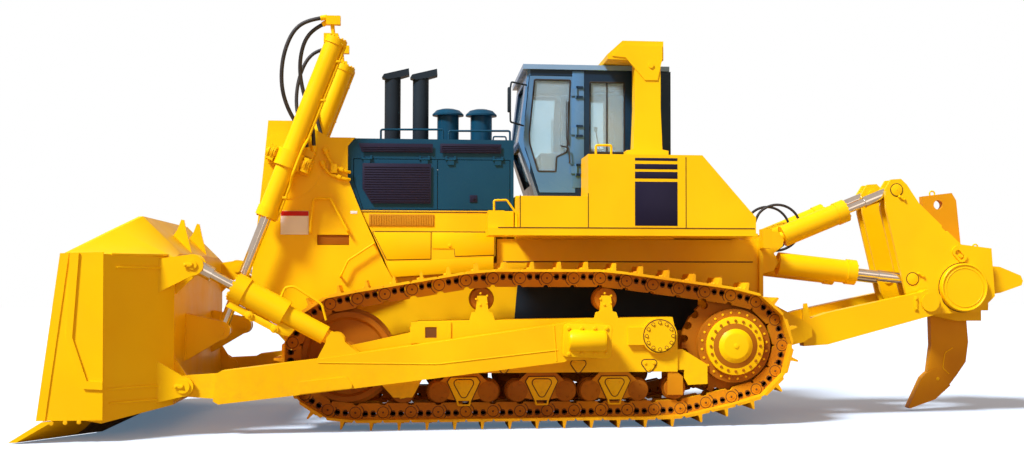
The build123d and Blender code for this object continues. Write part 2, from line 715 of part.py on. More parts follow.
def stacks():
    """Two exhaust stacks with slanted caps."""
    solids = []
    for x in (-2206.0, -1849.0):
        pipe = Pos(x, 0, hood_top + seat_gap) * Cylinder(102, 860,
                                                         align=(Align.CENTER, Align.CENTER, Align.MIN))
        z = hood_top + seat_gap + 860
        cap = [(x - 135, z - 5), (x - 110, z + 37), (x + 205, z + 115), (x + 212, z + 35),
               (x + 110, z + 3), (x - 60, z - 30)]
        pipe += side_plate(cap, -108, 108)
        solids.append(pipe)
    return Compound(children=solids)


def pre_cleaners():
    """Two air pre-cleaners with mushroom caps."""
    solids = []
    for x in (-1499.0, -1073.0):
        z = hood_top + seat_gap
        profile = [(0, z), (138, z), (138, z + 375), (200, z + 381), (200, z + 401), (150, z + 450),
                   (80, z + 470), (0, z + 475)]
        body = revolve(make_face(Plane.XZ * Polyline(*profile, close=True)), Axis.Z)
        solids.append(Pos(x, 0, 0) * body)
    return Compound(children=solids)


# ================================================================= cab
def cab_outline(shrink):
    """The side outline of the cab, drawn in by a distance."""
    s = shrink
    return [(cab_front_top + s, cab_top - 60 - s), (cab_front_mid + s, cab_mid_z),
            (cab_front_low + s, cab_floor + s),
            (cab_rear - s, cab_floor + s), (cab_rear - s, cab_top - 60 - s)]


CAB_DOOR = [(-520, 4235), (-598, 3440), (-400, 2800), (cab_door_rear, 2800), (cab_door_rear, 4235)]
DOOR_WINDOW = [(-462, 4190), (-525, 3520), (-520, 3400), (-420, 3060), (-200, 3060), (-190, 3240),
               (-60, 3300),
               (-20, 4190)]
SIDE_WINDOW = [(225, 4170), (225, 3300), (650, 3300), (650, 4170)]


def cab_shell():
    """Cab walls and floor, with openings for the doors and the windows."""
    shell = side_plate(cab_outline(0), -cab_half, cab_half)
    chamfer_cut = 140
    for s in (-1, 1):
        corner = Plane.XY * Polyline((-900, s * (cab_half - chamfer_cut)),
                                     (cab_front_mid - 5, s * (cab_half - chamfer_cut)),
                                     (cab_front_mid + chamfer_cut, s * (cab_half + 5)),
                                     (-900, s * (cab_half + 5)), close=True)
        shell -= Pos(0, 0, 2600) * extrude(make_face(corner), 1800)
    shell -= side_plate(cab_outline(cab_wall), -cab_half + cab_wall, cab_half - cab_wall)
    shell -= block(cab_front_mid - 10, cab_front_low + 130, -560, 560, 3480, 4200)
    shell -= block(cab_front_mid - 10, cab_front_low + 150, -560, 560, 2920, 3380)
    shell -= block(cab_rear - cab_wall - 1, cab_rear + 1, -700, 700, 3420, 4180)
    for s in (-1, 1):
        y0, y1 = sorted((s * (cab_half - cab_wall - 1), s * (cab_half + 1)))
        shell -= side_plate(grow(CAB_DOOR, door_gap), y0, y1)
        shell -= side_plate(SIDE_WINDOW, y0, y1)
    pins = None
    for z in door_knuckle_zs:
        pin = Pos(cab_door_rear + 15, -door_hinge_y, z) * Cylinder(7, 2 * knuckle_half + 60)
        for z0 in (z - knuckle_half - 30, z + knuckle_half + pin_gap):
            pin += hinge_leaf(cab_door_rear + 15, -door_hinge_y, knuckle_r, z0, z0 + 30 - pin_gap, 80,
                              -cab_half + 1)
        pins = pin if pins is None else pins + pin
    return shell + pins + other_side(pins)


def hinge_leaf(x, y, r, z0, z1, reach, inward):
    """A knuckle on an upright hinge line with the leaf that joins it to the face beside it."""
    knuckle = Pos(x, y, z0) * Cylinder(r, z1 - z0, align=(Align.CENTER, Align.CENTER, Align.MIN))
    x0, x1 = sorted((x, x + reach))
    return knuckle + block(x0, x1, y - r / 2, inward, z0, z1)


def cab_roof():
    """The flat roof sheet that overhangs the walls."""
    z0 = cab_top - 60 + seat_gap
    roof = block(cab_front_top - 60, cab_rear - 20, -cab_half - 30, cab_half + 30, z0, cab_top)
    return roof


def cab_door():
    """The left cab door with its window opening and hinge knuckles."""
    door = side_plate(CAB_DOOR, -cab_half, -cab_half + 50)
    door -= side_plate(DOOR_WINDOW, -cab_half - 1, -cab_half + 51)
    x, y = cab_door_rear + 15, -door_hinge_y
    for z in door_knuckle_zs:
        door += hinge_leaf(x, y, knuckle_r, z - knuckle_half, z + knuckle_half, -70, -cab_half - 1)
        door += block(x - 70, cab_door_rear, y - knuckle_r / 2, -cab_half + 5, z - knuckle_half,
                      z + knuckle_half)
        door -= Pos(x, y, z) * Cylinder(7 + pin_gap, 2 * knuckle_half + 2)
    return door


def door_glass():
    """The pane of the left cab door."""
    return side_plate(grow(DOOR_WINDOW, -seat_gap), -cab_half + 18, -cab_half + 28)


def cab_glass():
    """Windshield, lower front pane, rear pane and rear side panes."""
    g = seat_gap
    solids = [
        side_plate([(cab_front_top + 31, 4200 - g), (cab_front_mid + 25, 3480 + g),
                    (cab_front_mid + 35, 3480 + g),
                    (cab_front_top + 41, 4200 - g)], -560 + g, 560 - g),
        side_plate([(-590, 3380 - g), (-422, 2920 + g), (-412, 2920 + g), (-580, 3380 - g)], -560 + g,
                   560 - g),
        block(cab_rear - 40, cab_rear - 28, -700 + g, 700 - g, 3420 + g, 4180 - g),
        side_plate(grow(SIDE_WINDOW, -seat_gap), -cab_half + 22, -cab_half + 32),
        side_plate(grow(SIDE_WINDOW, -seat_gap), cab_half - 32, cab_half - 22),
    ]
    return Compound(children=solids)


def operator_seat():
    """Pedestal, cushion and back."""
    seat = block(180, 700, -270, 270, 3130, 3260) + block(620, 740, -260, 260, 3200, 3900)
    seat += block(300, 600, -180, 180, cab_floor + cab_wall + seat_gap, 3140)
    return seat


def consoles():
    """The side consoles and the dash."""
    z0 = cab_floor + cab_wall + seat_gap
    left = block(150, 620, -560, -330, z0, 3380)
    dash = block(-340, -120, -420, 420, z0, 3330)
    return Compound(children=[*left.solids(), *other_side(left).solids(), *dash.solids()])


def rops():
    """Roll-over frame: two posts with gussets, a box beam and a visor that slopes forward."""
    under = cab_top + 8
    beam = side_plate([(visor_x + 6, under + 6), (582, under), (1065, under), (1065, rops_top),
                       (565, rops_top),
                       (visor_x, 4445)], -post_out, post_out)
    for s in (-1, 1):
        y0, y1 = sorted((s * post_in, s * post_out))
        post = [(post_x0, under + 5), (post_x1, under + 5), (post_x1, 3800), (post_x1 + 20, 3300),
                (post_x1 + 95, 3285),
                (post_x1 + 95, tank_top + seat_gap), (post_x0 - 105, tank_top + seat_gap),
                (post_x0 - 105, 3285),
                (post_x0 - 20, 3300), (post_x0, 3800)]
        beam += side_plate(post, y0, y1)
        y0, y1 = sorted((s * (post_out - 40), s * (post_out + 14)))
        gusset = [(visor_x + 60, 4425), (582, 4560), (1050, 4560), (1050, 4400), (990, 4140), (835, 4140),
                  (600, 4410)]
        beam += side_plate(gusset, y0, y1)
        y0, y1 = sorted((s * (post_out - 40), s * (post_out + 30)))
        beam += rod_y(910, 4320, 32, y0, y1)
    return beam


# ================================================================= decks and tanks
def front_console():
    """Deck box beside the cab's front, below the door, with the walkway in front of it."""
    y_in, y_out = -cab_half - 40, -deck_out
    shape = [(hood_rear + 10, deck_bottom), (tank_front - seat_gap, deck_bottom),
             (tank_front - seat_gap, deck_top),
             (hood_rear + 20, deck_top), (hood_rear + 10, 2400)]
    box = side_plate(shape, y_out, y_in)
    box += block(catwalk_x, hood_rear + 20, y_out, y_in, deck_bottom, 2334)
    box += block(catwalk_x, catwalk_x + 190, y_out + 60, y_out + 300, 2300, 2540)
    box -= block(catwalk_x + 25, catwalk_x + 165, y_out + 85, y_out + 275, 2400, 2541)
    return box


def side_tank():
    """The hydraulic tank beside the cab."""
    shape = [(tank_front, deck_bottom), (tank_mid, deck_bottom), (tank_mid, tank_top),
             (tank_front, tank_top)]
    return side_plate(shape, -deck_out, -cab_half - 40)


def deck_boxes():
    """The boxes beside the cab: a low console in front and a tall tank behind it."""
    return Compound(children=[front_console(), side_tank()])


def fuel_tank():
    """The fuel tank across the rear of the deck."""
    shape = [(tank_mid + seat_gap, deck_bottom), (tank_rear, deck_bottom), (tank_rear, 2470),
             (1480, tank_top), (tank_mid + seat_gap, tank_top)]
    return side_plate(shape, -deck_out, deck_out)


def cab_floor_frame():
    """Platform under the cab that ties it to the hull and the decks."""
    return block(-690, tank_mid - 5, -cab_half - 40 + seat_gap, cab_half + 40 - seat_gap,
                 hull_deck + seat_gap, cab_floor - seat_gap)


# ================================================================= blade
def blade_profile(front_bottom, front_top, depth, back_x, back_z0, back_z1):
    """One cross-section of the blade: curved front, vertical back, sloping top and bottom."""
    (x0, z0), (x1, z1) = front_bottom, front_top
    mid = ((x0 + x1) / 2 + depth, (z0 + z1) / 2)
    return [(x0, z0), mid, (x1, z1), (x1 + 45, z1 + 2), (back_x, back_z1), (back_x, back_z0),
            (x0 + 150, z0 + 60)]


def section(points, y):
    """One cross-section of the blade: curved face, then straight back."""
    front = ThreePointArc((points[0][0], y, points[0][1]), (points[1][0], y, points[1][1]),
                          (points[2][0], y, points[2][1]))
    rest = Polyline(*[(x, y, z) for x, z in [points[2], *points[3:], points[0]]])
    return make_face(Curve() + [front, rest])


# y: front bottom, front top, hollow of the face, back x, back bottom, back top
BLADE_SECTIONS = {
    0: ((-5215, 230), (-5040, 2450), 300, blade_back, 340, 2030),
    blade_bend: ((-5215, 230), (-5040, 2450), 300, blade_back, 340, 2030),
    blade_back_corner: ((-5420, 228), (-5250, 2290), 270, blade_back, 335, 1975),
    blade_half - 42: ((-5800, 225), (-5600, 2010), 210, -5200, 200, 2000),
}


def blade_half_body():
    """Left-out half of the blade, from the middle to the end plate."""
    ys = list(BLADE_SECTIONS)
    half = None
    for y0, y1 in zip(ys, ys[1:]):
        a = section(blade_profile(*BLADE_SECTIONS[y0]), y0)
        b = section(blade_profile(*BLADE_SECTIONS[y1]), y1)
        piece = loft([a, b], ruled=True)
        half = piece if half is None else half + piece
    return half


def blade_body():
    """Box-built blade with a curved face, swept wings and two fins on its sloping top."""
    fin = [(-4830, 2240), (-4770, 2330), (-4722, 2459), (-4690, 2452), (-4655, 2290), (-4585, 2020),
           (-4700, 2020)]
    half = blade_half_body() + side_plate(fin, blade_fin_y - 16, blade_fin_y + 16)
    return half + other_side(half)


def blade_ends():
    """End plates of the blade, with a raised strip in front and a cranked stiffener behind."""
    face, y1 = blade_half - 22, blade_half
    shape = [(-5860, 235), (-5640, 2006), (-5198, 2018), (-5184, 235)]
    plate = side_plate(shape, blade_half - 42 + seat_gap, face)
    plate += side_plate([(-5860, 235), (-5640, 2006), (-5548, 2008), (-5768, 235)], face - 2, y1 - 10)
    stiffener = [(-5540, 2009), (-5564, 1098), (-5383, 569), (-5184, 557), (-5184, 640), (-5345, 650),
                 (-5500, 1110),
                 (-5444, 2011)]
    plate += side_plate(stiffener, face - 2, y1)
    return both(plate)


def cutting_edge():
    """Bolted cutting edges and end bits along the bottom."""
    z0 = blade_foot
    middle = [(-5490, z0), (-5410, z0), (-5110, 230 - seat_gap), (-5215, 230 - seat_gap)]
    outer = [(front_x, z0), (front_x + 80, z0), (-5690, 225 - seat_gap), (-5799, 225 - seat_gap)]
    edge = side_plate(middle, -blade_bend, blade_bend)

    def across(points, y):
        return make_face(Polyline(*[(x, y, z) for x, z in points], close=True))

    wing = loft([across(middle, blade_bend + seat_gap), across(outer, blade_half)], ruled=True)
    return Compound(children=[*edge.solids(), *both(wing).solids()])


def blade_lugs():
    """Clevis plates behind the blade for the push arm, the pitch cylinder and the lift cylinder."""
    solids = []
    body = blade_half_body()
    # centre y, half gap, thickness, pin x, pin z, plate radius, pin radius, foot heights, pin through
    lugs = [
        (arm_y, 95, 48, blade_pin_x, blade_pin_z, 110, 75, 360, 860, True),
        (arm_y, 92, 42, pitch_front_x, pitch_front_z, 120, 52, 1560, 1950, False),
        (lift_y, 72, 40, lift_eye_x, lift_eye_z, 110, 55, 780, 1330, False),
    ]
    for y, gap, thick, x, z, r, pin, low, high, through in lugs:
        for s in (-1, 1):
            y0, y1 = sorted((y + s * gap, y + s * (gap + thick)))
            on_wing = y1 > blade_back_corner
            foot = blade_back - 200 if on_wing else blade_back + seat_gap
            web = side_plate([(foot, low), (x, z - r), (x, z + r), (foot, high)], y0, y1) + rod_y(x, z, r,
                                                                                                  y0, y1)
            cap0, cap1 = sorted((y + s * (gap + thick - 5), y + s * (gap + thick + 18)))
            web += rod_y(x, z, pin, cap0, cap1)
            if on_wing:
                web -= Pos(seat_gap, 0, 0) * body
            if through:
                pin0, pin1 = sorted((y, y + s * (gap + thick)))
                web += rod_y(x, z, pin, pin0 + (seat_gap if s > 0 else 0), pin1)
            solids.append(web)
    return both(Compound(children=solids))


def push_arm():
    """Box-section push arm: trunnion socket behind, tongue in front, ears for the pitch cylinder."""
    y = -arm_y
    half = arm_width / 2
    outline = [(-4080, 690), (-4120, 380), (-4060, 345), (-2700, 494), (-205, 789), (-120, 850),
               (-120, 1215),
               (-308, 1210), (-2867, 852), (-4040, 712)]
    arm = side_plate(outline, y - half, y + half)
    arm += rod_y(trunnion_x, trunnion_z, 235, y - half, y + half)
    arm += side_plate([(-320, 800), (trunnion_x, trunnion_z - 235), (trunnion_x, trunnion_z + 235),
                       (-320, 1212)],
                      y - half, y + half)
    tongue = side_plate([(-4060, 400), (blade_pin_x, blade_pin_z - 115), (blade_pin_x, blade_pin_z + 115),
                         (-4060, 680)],
                        y - 85, y + 85)
    arm += tongue + rod_y(blade_pin_x, blade_pin_z, 115, y - 85, y + 85)
    for s in (-1, 1):
        y0, y1 = sorted((y + s * 92, y + s * 134))
        ear = side_plate([(-3000, 820), (pitch_rear_x - 100, pitch_rear_z),
                          (pitch_rear_x + 100, pitch_rear_z),
                          (-2520, 890)], y0, y1)
        arm += ear + rod_y(pitch_rear_x, pitch_rear_z, 105, y0, y1)
    arm += rod_y(pitch_rear_x, pitch_rear_z, 52, y - 134, y + 134)
    arm += side_plate([(-3195, 585), (-2660, 640), (-2600, 560), (-2600, 515), (-3180, 452)],
                      y - half - 22, y)
    arm -= rod_y(blade_pin_x, blade_pin_z, 75 + pin_gap, y - 90, y + 90)
    arm -= rod_y(trunnion_x, trunnion_z, 120 + pin_gap, y - half - 1, y + half + 1)
    return arm


def barrel(start, end, y, parts, bore_r, bore_from, bore_to, eye_r, eye_half, pin_r):
    """A cylinder barrel: an eye on its pin, stepped tube, and the bore for the rod."""
    point, _ = along(*start, *end)
    tube = rod_y(*start, eye_r, y - eye_half, y + eye_half)
    for d0, d1, r in parts:
        tube += bar(point, y, r, d0, d1)
    tube -= bar(point, y, bore_r, bore_from, bore_to)
    return tube - rod_y(*start, pin_r + pin_gap, y - eye_half - 1, y + eye_half + 1)


def piston_rod(start, end, y, rod_r, inner, collar_r, collar, eye_r, eye_half):
    """A cylinder rod with its collar and its eye, which lies between the cheeks of its clevis."""
    point, length = along(*start, *end)
    shaft = bar(point, y, rod_r, inner, length - 20) + bar(point, y, collar_r, length - collar, length - 20)
    return shaft + rod_y(*end, eye_r, y - eye_half, y + eye_half)


PITCH = ((pitch_rear_x, pitch_rear_z), (pitch_front_x, pitch_front_z))
LIFT = ((lift_trunnion_x, lift_trunnion_z), (lift_eye_x, lift_eye_z))
TILT = ((tilt_front_x, tilt_front_z), (tilt_eye_x, tilt_eye_z))
RLIFT = ((rlift_front_x, rlift_front_z), (rlift_eye_x, rlift_eye_z))


def pitch_barrel():
    """The barrel of the left blade pitch cylinder."""
    return barrel(*PITCH, -arm_y, [(40, 135, 80), (135, 640, 108), (640, 1140, 152), (1140, 1290, 168)],
                  55 + pin_gap, 700, 1300, 95, 84, 52)


def pitch_rod():
    """The rod of the left blade pitch cylinder."""
    return piston_rod(*PITCH, -arm_y, 55, 860, 80, 230, 100, 84)


LIFT_STEPS = [                  # from, to along the axis, radius; 0 is the trunnion
    (-1560, 738, 122), (620, 738, 138), (-1560, -1480, 136), (-100, 100, 160),
]
LIFT_HEAD = [                   # blocks on the barrel's head: x, y half-width, z, from the axis at the cap
    ((-125, 45), 55, (165, 270)),
    ((-150, 20), 70, (-60, 55)),
]
lift_cap, lift_bore_end, lift_rod_r, lift_riser_r = -1560, -1500, 62, 24


def lift_barrel():
    """Barrel of a blade lift cylinder, held at its middle, with the hose block on its head."""
    point, _ = along(*LIFT[0], *LIFT[1])
    y = -lift_y
    cap_x, cap_z = point(lift_cap)
    tube = rod((cap_x - 30, y, cap_z - 40), (cap_x - 55, y, cap_z + 190), lift_riser_r)
    for d0, d1, r in LIFT_STEPS:
        tube += bar(point, y, r, d0, d1)
    for (x0, x1), half, (z0, z1) in LIFT_HEAD:
        tube += block(cap_x + x0, cap_x + x1, y - half, y + half, cap_z + z0, cap_z + z1)
    tube -= bar(point, y, lift_rod_r + pin_gap, lift_bore_end, 739)
    for route in LIFT_HOSES.values():
        tube += ferrule(route[0], route[1], lift_hose_r)
    return tube


def lift_rod():
    """The rod of the left blade lift cylinder."""
    point, length = along(*LIFT[0], *LIFT[1])
    y = -lift_y
    shaft = bar(point, y, lift_rod_r, -430, length - 20)
    return shaft + rod_y(lift_eye_x, lift_eye_z, 105, y - 66, y + 66)


def lift_yoke():
    """Yoke that grips the lift cylinder's trunnions and turns on a stem in the guard's side."""
    point, _ = along(*LIFT[0], *LIFT[1])
    y = -lift_y
    y_in, y_plate, y_out = -guard_half - 22, -lift_y + 168, -lift_y - 75

    def piece(d0, d1, o0, o1, ya, yb):
        return side_plate([point(d0, o0), point(d1, o0), point(d1, o1), point(d0, o1)], ya, yb)

    yoke = piece(-105, 105, -262, 262, y_plate, y_in)
    for s in (-1, 1):
        yoke += piece(-85, 85, s * 172, s * 262, y_out, y_in)
    (x0, z0), (x1, z1) = point(0, -262), point(0, 262)
    pins_across = rod((x0, y, z0), (x1, y, z1), 58)
    yoke += pins_across - bar(point, y, 161, -200, 200)
    yoke += rod_y(lift_trunnion_x, lift_trunnion_z, yoke_stem_r, y_in - 5, -guard_half + guard_wall)
    yoke += piece(-190, -112, 75, 245, -lift_y + 115, y_in) + piece(-125, -90, 75, 245, y_plate, y_in)
    for route in LIFT_HOSES.values():
        yoke += ferrule(route[-1], route[-2], lift_hose_r)
    return yoke


LIFT_HOSES = {                  # from the cylinder's top, forward, and down behind it to the yoke
    "lift_hose": [(-3050, -1060, 4868), (-3215, -1060, 4838), (-3370, -1060, 4715), (-3470, -1058, 4480),
                  (-3510, -1045, 4230), (-3500, -1015, 3990), (-3430, -965, 3770), (-3330, -915, 3600),
                  (-3250, -900, 3450), (-3205, -900, 3325)],
    "lift_return_hose": [(-3030, -1010, 4800), (-3140, -1000, 4740), (-3240, -985, 4610),
                         (-3290, -965, 4430), (-3300, -940, 4240), (-3275, -915, 4060), (-3225, -903, 3880), (-3170, -900, 3690),
                         (-3135, -900, 3510), (-3130, -900, 3345)],
}


# ================================================================= ripper
def ripper_arm():
    """Lower link: two side beams and the plate that ties them."""
    y = -ripper_arm_y
    ax, az, px, pz = ripper_arm_x, ripper_arm_z, ripper_pin_x, ripper_pin_z
    side = side_plate([(ax + 20, az - 185), (ax + 330, az - 165), (px + 40, pz - 165), (px, pz + 150),
                       (ax + 330, az + 235),
                       (ax, az + 130)], y - 100, y + 100)
    side += rod_y(ax, az, 130, y - 100, y + 100) + rod_y(px, pz, 165, y - 100, y + 100)
    side -= rod_y(ax, az, 60 + pin_gap, y - 101, y + 101)
    side -= rod_y(px, pz, 60 + pin_gap, y - 101, y + 101)
    tie = side_plate([(ax + 330, az - 60), (ax + 900, az + 50), (ax + 900, az + 190), (ax + 330, az + 100)],
                     y + 90, -y - 90)
    side += side_plate([(ax + 5, az + 100), (ax + 20, az + 350), (ax + 65, az + 355), (ax + 110, az + 140)],
                       y - 100, y - 68)
    return side + other_side(side) + tie


def ripper_beam():
    """Beam that carries the shank: four side plates, the cross tube and the shank's pocket."""
    plate = [(4110, 2640), (4100, 2900), (4180, 3025), (4310, 3035), (4390, 2960), (4550, 2720),
             (5110, 2190), (5520, 2140),
             (5560, 1520), (5340, 1310), (4660, 1290), (4470, 1340), (4360, 1560)]
    beam = None
    for y0, y1 in ((-620, -560), (-400, -345)):
        p = side_plate(plate, y0, y1)
        beam = p if beam is None else beam + p
    beam += rod_y(5120, 1632, 290, -620, 0) + rod_y(5120, 1632, 312, -700, -610)
    beam += block(4720, 5560, -400, 0, 1330, 2130)
    beam += side_plate([(4730, 1340), (4760, 1290), (5200, 1190), (5540, 1190), (5540, 1340)], -210, 0)
    beam += rounded_plate([(5030, 2100), (5050, 2120), (5130, 2030), (5110, 2010)], 52, -645, -610)
    beam -= rounded_plate([(5050, 2080), (5058, 2088), (5110, 2032), (5102, 2024)], 30, -646, -618)
    beam += rod_y(5100, 2040, 24, -650, -610)
    beam -= rounded_plate([(4870, 2415), (4880, 2425), (4925, 2385), (4915, 2375)], 20, -621, -559)
    beam += rod_y(ripper_pin_x, ripper_pin_z, 118, -862, -840)
    for x, z in ((tilt_eye_x, tilt_eye_z), (rlift_eye_x, rlift_eye_z)):
        beam += rod_y(x, z, 60, -629, -615) + rod_y(x, z, 60, -350, -325)
    beam += rod_y(ripper_pin_x, ripper_pin_z, 60, -850, -610)
    beam += other_side(beam)
    beam -= block(4790, 5430, -shank_half - seat_gap, shank_half + seat_gap, 1180, 2300)
    push = side_plate([(5550, 1520), (5820, 1560), (rear_x - 20, 1660), (rear_x, 1720),
                       (rear_x - 30, 1790), (5820, 1905),
                       (5550, 1930)], -190, 190)
    return beam + push


SHANK = [(4800, 2845), (5211, 2895), (5272, 2796), (5330, 2180), (5394, 1225), (5418, 906), (5380, 640),
         (5247, 457),
         (5080, 250), (4850, 480), (4870, 620), (4905, 869), (4896, 1253)]


def ripper_shank():
    """The shank, with the pin hole at its head."""
    return side_plate(SHANK, -shank_half, shank_half) - rod_y(5022, 2733, 62, -61, 61)


def ripper_tip():
    """Replaceable point on the shank's nose."""
    outline = [(4770, 434), (4840, 500), (4960, 560), (5160, 330), (4950, 150), (4600, 30), (4580, 45)]
    return side_plate(outline, -75, 75) - side_plate(grow(SHANK, seat_gap), -shank_half - seat_gap,
                                                     shank_half + seat_gap)


def tilt_barrel():
    """The barrel of the left upper ripper cylinder."""
    return barrel(*TILT, -ripper_cyl_y, [(40, 145, 64), (140, 900, 138), (900, 1040, 148)], 55 + pin_gap,
                  500, 1050, 80, 68, 45)


def tilt_rod():
    """The rod of the left upper ripper cylinder."""
    return piston_rod(*TILT, -ripper_cyl_y, 55, 700, 72, 420, 98, 60)


def rlift_barrel():
    """The barrel of the left lower ripper cylinder."""
    return barrel(*RLIFT, -ripper_cyl_y, [(40, 145, 64), (140, 1040, 148), (1040, 1165, 162)],
                  60 + pin_gap, 500, 1175, 80, 68, 45)


def rlift_rod():
    """The rod of the left lower ripper cylinder."""
    return piston_rod(*RLIFT, -ripper_cyl_y, 60, 700, 72, 420, 95, 60)


# ================================================================= the pieces
NODES = {
    "main_frame": main_frame,
    "rear_bracket": rear_bracket,
    "equalizer_bar": equalizer_bar,
    "engine_block": engine_block,
    "radiator_guard": radiator_guard,
    "radiator_grille": radiator_grille,
    "radiator_core": radiator_core,
    "hood_shell": hood_shell,
    "side_cowls": side_cowls,
    "exhaust_stacks": stacks,
    "air_pre_cleaners": pre_cleaners,
    "cab_shell": cab_shell,
    "cab_roof": cab_roof,
    "cab_glass": cab_glass,
    "cab_platform": cab_floor_frame,
    "operator_seat": operator_seat,
    "control_consoles": consoles,
    "rops_frame": rops,
    "fuel_tank": fuel_tank,
    "blade_body": blade_body,
    "blade_lugs": blade_lugs,
    "blade_end_plates": blade_ends,
    "cutting_edge": cutting_edge,
    "ripper_arm": ripper_arm,
    "ripper_beam": ripper_beam,
    "ripper_shank": ripper_shank,
    "ripper_tip": ripper_tip,
}
PAIRS = {                       # left piece; one node holds it and its mirror image
    "deck_boxes": deck_boxes,
    "pitch_barrels": pitch_barrel,
    "pitch_rods": pitch_rod,
    "lift_barrels": lift_barrel,
    "lift_rods": lift_rod,
    "lift_yokes": lift_yoke,
    "ripper_tilt_barrels": tilt_barrel,
    "ripper_tilt_rods": tilt_rod,
    "ripper_lift_barrels": rlift_barrel,
    "ripper_lift_rods": rlift_rod,
    "sprockets": sprocket,
    "final_drives": final_drive,
    "idlers": idler,
    "track_rollers": track_rollers,
    "bogies": bogies,
    "carrier_rollers": carrier_rollers,
    "track_frames": track_frame,
    "push_arms": push_arm,
    "tracks": track,
}
SIDED = {                       # left piece; the right one is its mirror image
    "cab_door": cab_door,
    "door_glass": door_glass,
}

for name, maker in NODES.items():
    save(name, maker())
for name, maker in PAIRS.items():
    save(name, both(maker()))
for name, maker in SIDED.items():
    left = maker()
    save(f"{name}_left", left)
    save(f"{name}_right", other_side(left))
HOSES = {**{name: (route, lift_hose_r) for name, route in LIFT_HOSES.items()},
         "ripper_hose": (RIPPER_HOSE, ripper_hose_r)}
for name, (route, hose_r) in HOSES.items():
    left = hose(route, hose_r)
    save(f"{name}_left", left)
    save(f"{name}_right", other_side(left))
for which in DOOR_OUTLINES:
    left = engine_door(which)
    save(f"engine_door_{which}_left", left)
    save(f"engine_door_{which}_right", other_side(left))
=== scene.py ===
# %% [markdown]
# # A crawler bulldozer, dressed for its picture
# The shapes come ready-made from the CAD frame: every node is already in its place, in metres.
# This notebook gives each surface its finish and adds the small things a fitter bolts on last:
# pin marks, bolts, rails, hoses, slats, gaskets and blank plates.
# The machine faces -X, its left side is -Y and the ground is Z = 0.

# %% Load the frame
from math import atan2, cos, hypot, pi, radians, sin

import bpy
from mathutils import Matrix, Vector


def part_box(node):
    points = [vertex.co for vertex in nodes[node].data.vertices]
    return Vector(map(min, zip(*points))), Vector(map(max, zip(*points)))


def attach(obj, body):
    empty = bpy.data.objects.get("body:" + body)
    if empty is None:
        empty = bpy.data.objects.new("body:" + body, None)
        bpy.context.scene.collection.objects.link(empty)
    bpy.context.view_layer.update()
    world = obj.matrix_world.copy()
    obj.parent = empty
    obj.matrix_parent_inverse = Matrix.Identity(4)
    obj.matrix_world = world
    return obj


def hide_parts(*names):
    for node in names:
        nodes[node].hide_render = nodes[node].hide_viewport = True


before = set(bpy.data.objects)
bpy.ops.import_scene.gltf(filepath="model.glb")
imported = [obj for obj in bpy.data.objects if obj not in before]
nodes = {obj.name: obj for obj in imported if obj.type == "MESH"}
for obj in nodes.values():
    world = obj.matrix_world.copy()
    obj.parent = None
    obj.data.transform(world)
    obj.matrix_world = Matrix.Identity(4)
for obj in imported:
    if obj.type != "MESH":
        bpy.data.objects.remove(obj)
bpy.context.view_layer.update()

# %% [markdown]
# ## Small helpers for objects and nodes
# Cameras, lamps, hoses and plates all enter the scene in the same way, and every material is made
# of nodes. A node's inputs are filled from a table: a socket is linked, a number or colour is set.

# %% Adding objects and nodes
def added(name, data):
    """An object in the scene for some new data."""
    item = bpy.data.objects.new(name, data)
    bpy.context.collection.objects.link(item)
    return item


def fill(tree, node, inputs):
    """Each input of a node linked to a socket, or set to a number or an RGB colour."""
    for key, value in inputs.items():
        if isinstance(value, bpy.types.NodeSocket):
            tree.links.new(value, node.inputs[key])
        else:
            node.inputs[key].default_value = (*value, 1) if isinstance(value, tuple) else value


def add_node(tree, kind, inputs, **options):
    """The outputs of a new shader node with its options set and its inputs filled."""
    node = tree.nodes.new(f"ShaderNode{kind}")
    for key, value in options.items():
        setattr(node, key, value)
    fill(tree, node, inputs)
    return node.outputs


print("helpers ready")

# %% [markdown]
# ## The camera
# The machine is seen square from its left side, from far off and from eye height, turned a little
# towards the rear. A long lens keeps the blade and the ripper at the same scale.
# The camera is placed by the direction it looks in, which is easier to read than three angles.

# %% Camera
view_direction = Vector((0.12123, 0.9918, 0.04038))
lens = bpy.data.cameras.new("side_view")
lens.sensor_width = 36.0
lens.lens = 49.13
lens.shift_x = -0.0751
camera = added("side_view", lens)
camera.location = (-1.873, -18.0, 1.684)
camera.rotation_euler = view_direction.to_track_quat("-Z", "Y").to_euler()
bpy.context.scene.camera = camera
print("camera looks along", [round(v, 3) for v in view_direction])

# %% [markdown]
# ## Light and floor
# A large soft key from above and in front, a weak fill from the camera's side and a bright even
# sky make every panel readable. The sky is plain white for the rays that reach the camera or pass
# through glass, warm and dimmer for the light it gives, and a mix of the two in shiny surfaces.
# The floor is a pale sheet that keeps the machine's shadow. The camera sees it paler and faintly
# glowing, while the light it throws back onto the machine is warm and dim.

# %% Sky, lamps and floor
scene = bpy.context.scene
scene.view_settings.view_transform = "Standard"

sky = bpy.data.worlds.new("studio_sky")
scene.world = sky
sky.use_nodes = True
tree = sky.node_tree
ray = add_node(tree, "LightPath", {})
mirrored = add_node(tree, "Math", {0: ray["Is Glossy Ray"], 1: 0.3}, operation="MULTIPLY")
seen = add_node(tree, "Math", {0: ray["Is Camera Ray"], 1: mirrored[0]}, operation="MAXIMUM")
seen = add_node(tree, "Math", {0: seen[0], 1: ray["Is Transmission Ray"]}, operation="MAXIMUM")
lit = tree.nodes["Background"]
fill(tree, lit, {"Color": (1.0, 0.66, 0.44), "Strength": 0.44})
white = add_node(tree, "Background", {"Color": (1.0, 1.0, 1.0), "Strength": 1.0})
either = add_node(tree, "MixShader", {0: seen[0], 1: lit.outputs[0], 2: white[0]})
fill(tree, tree.nodes["World Output"], {"Surface": either[0]})


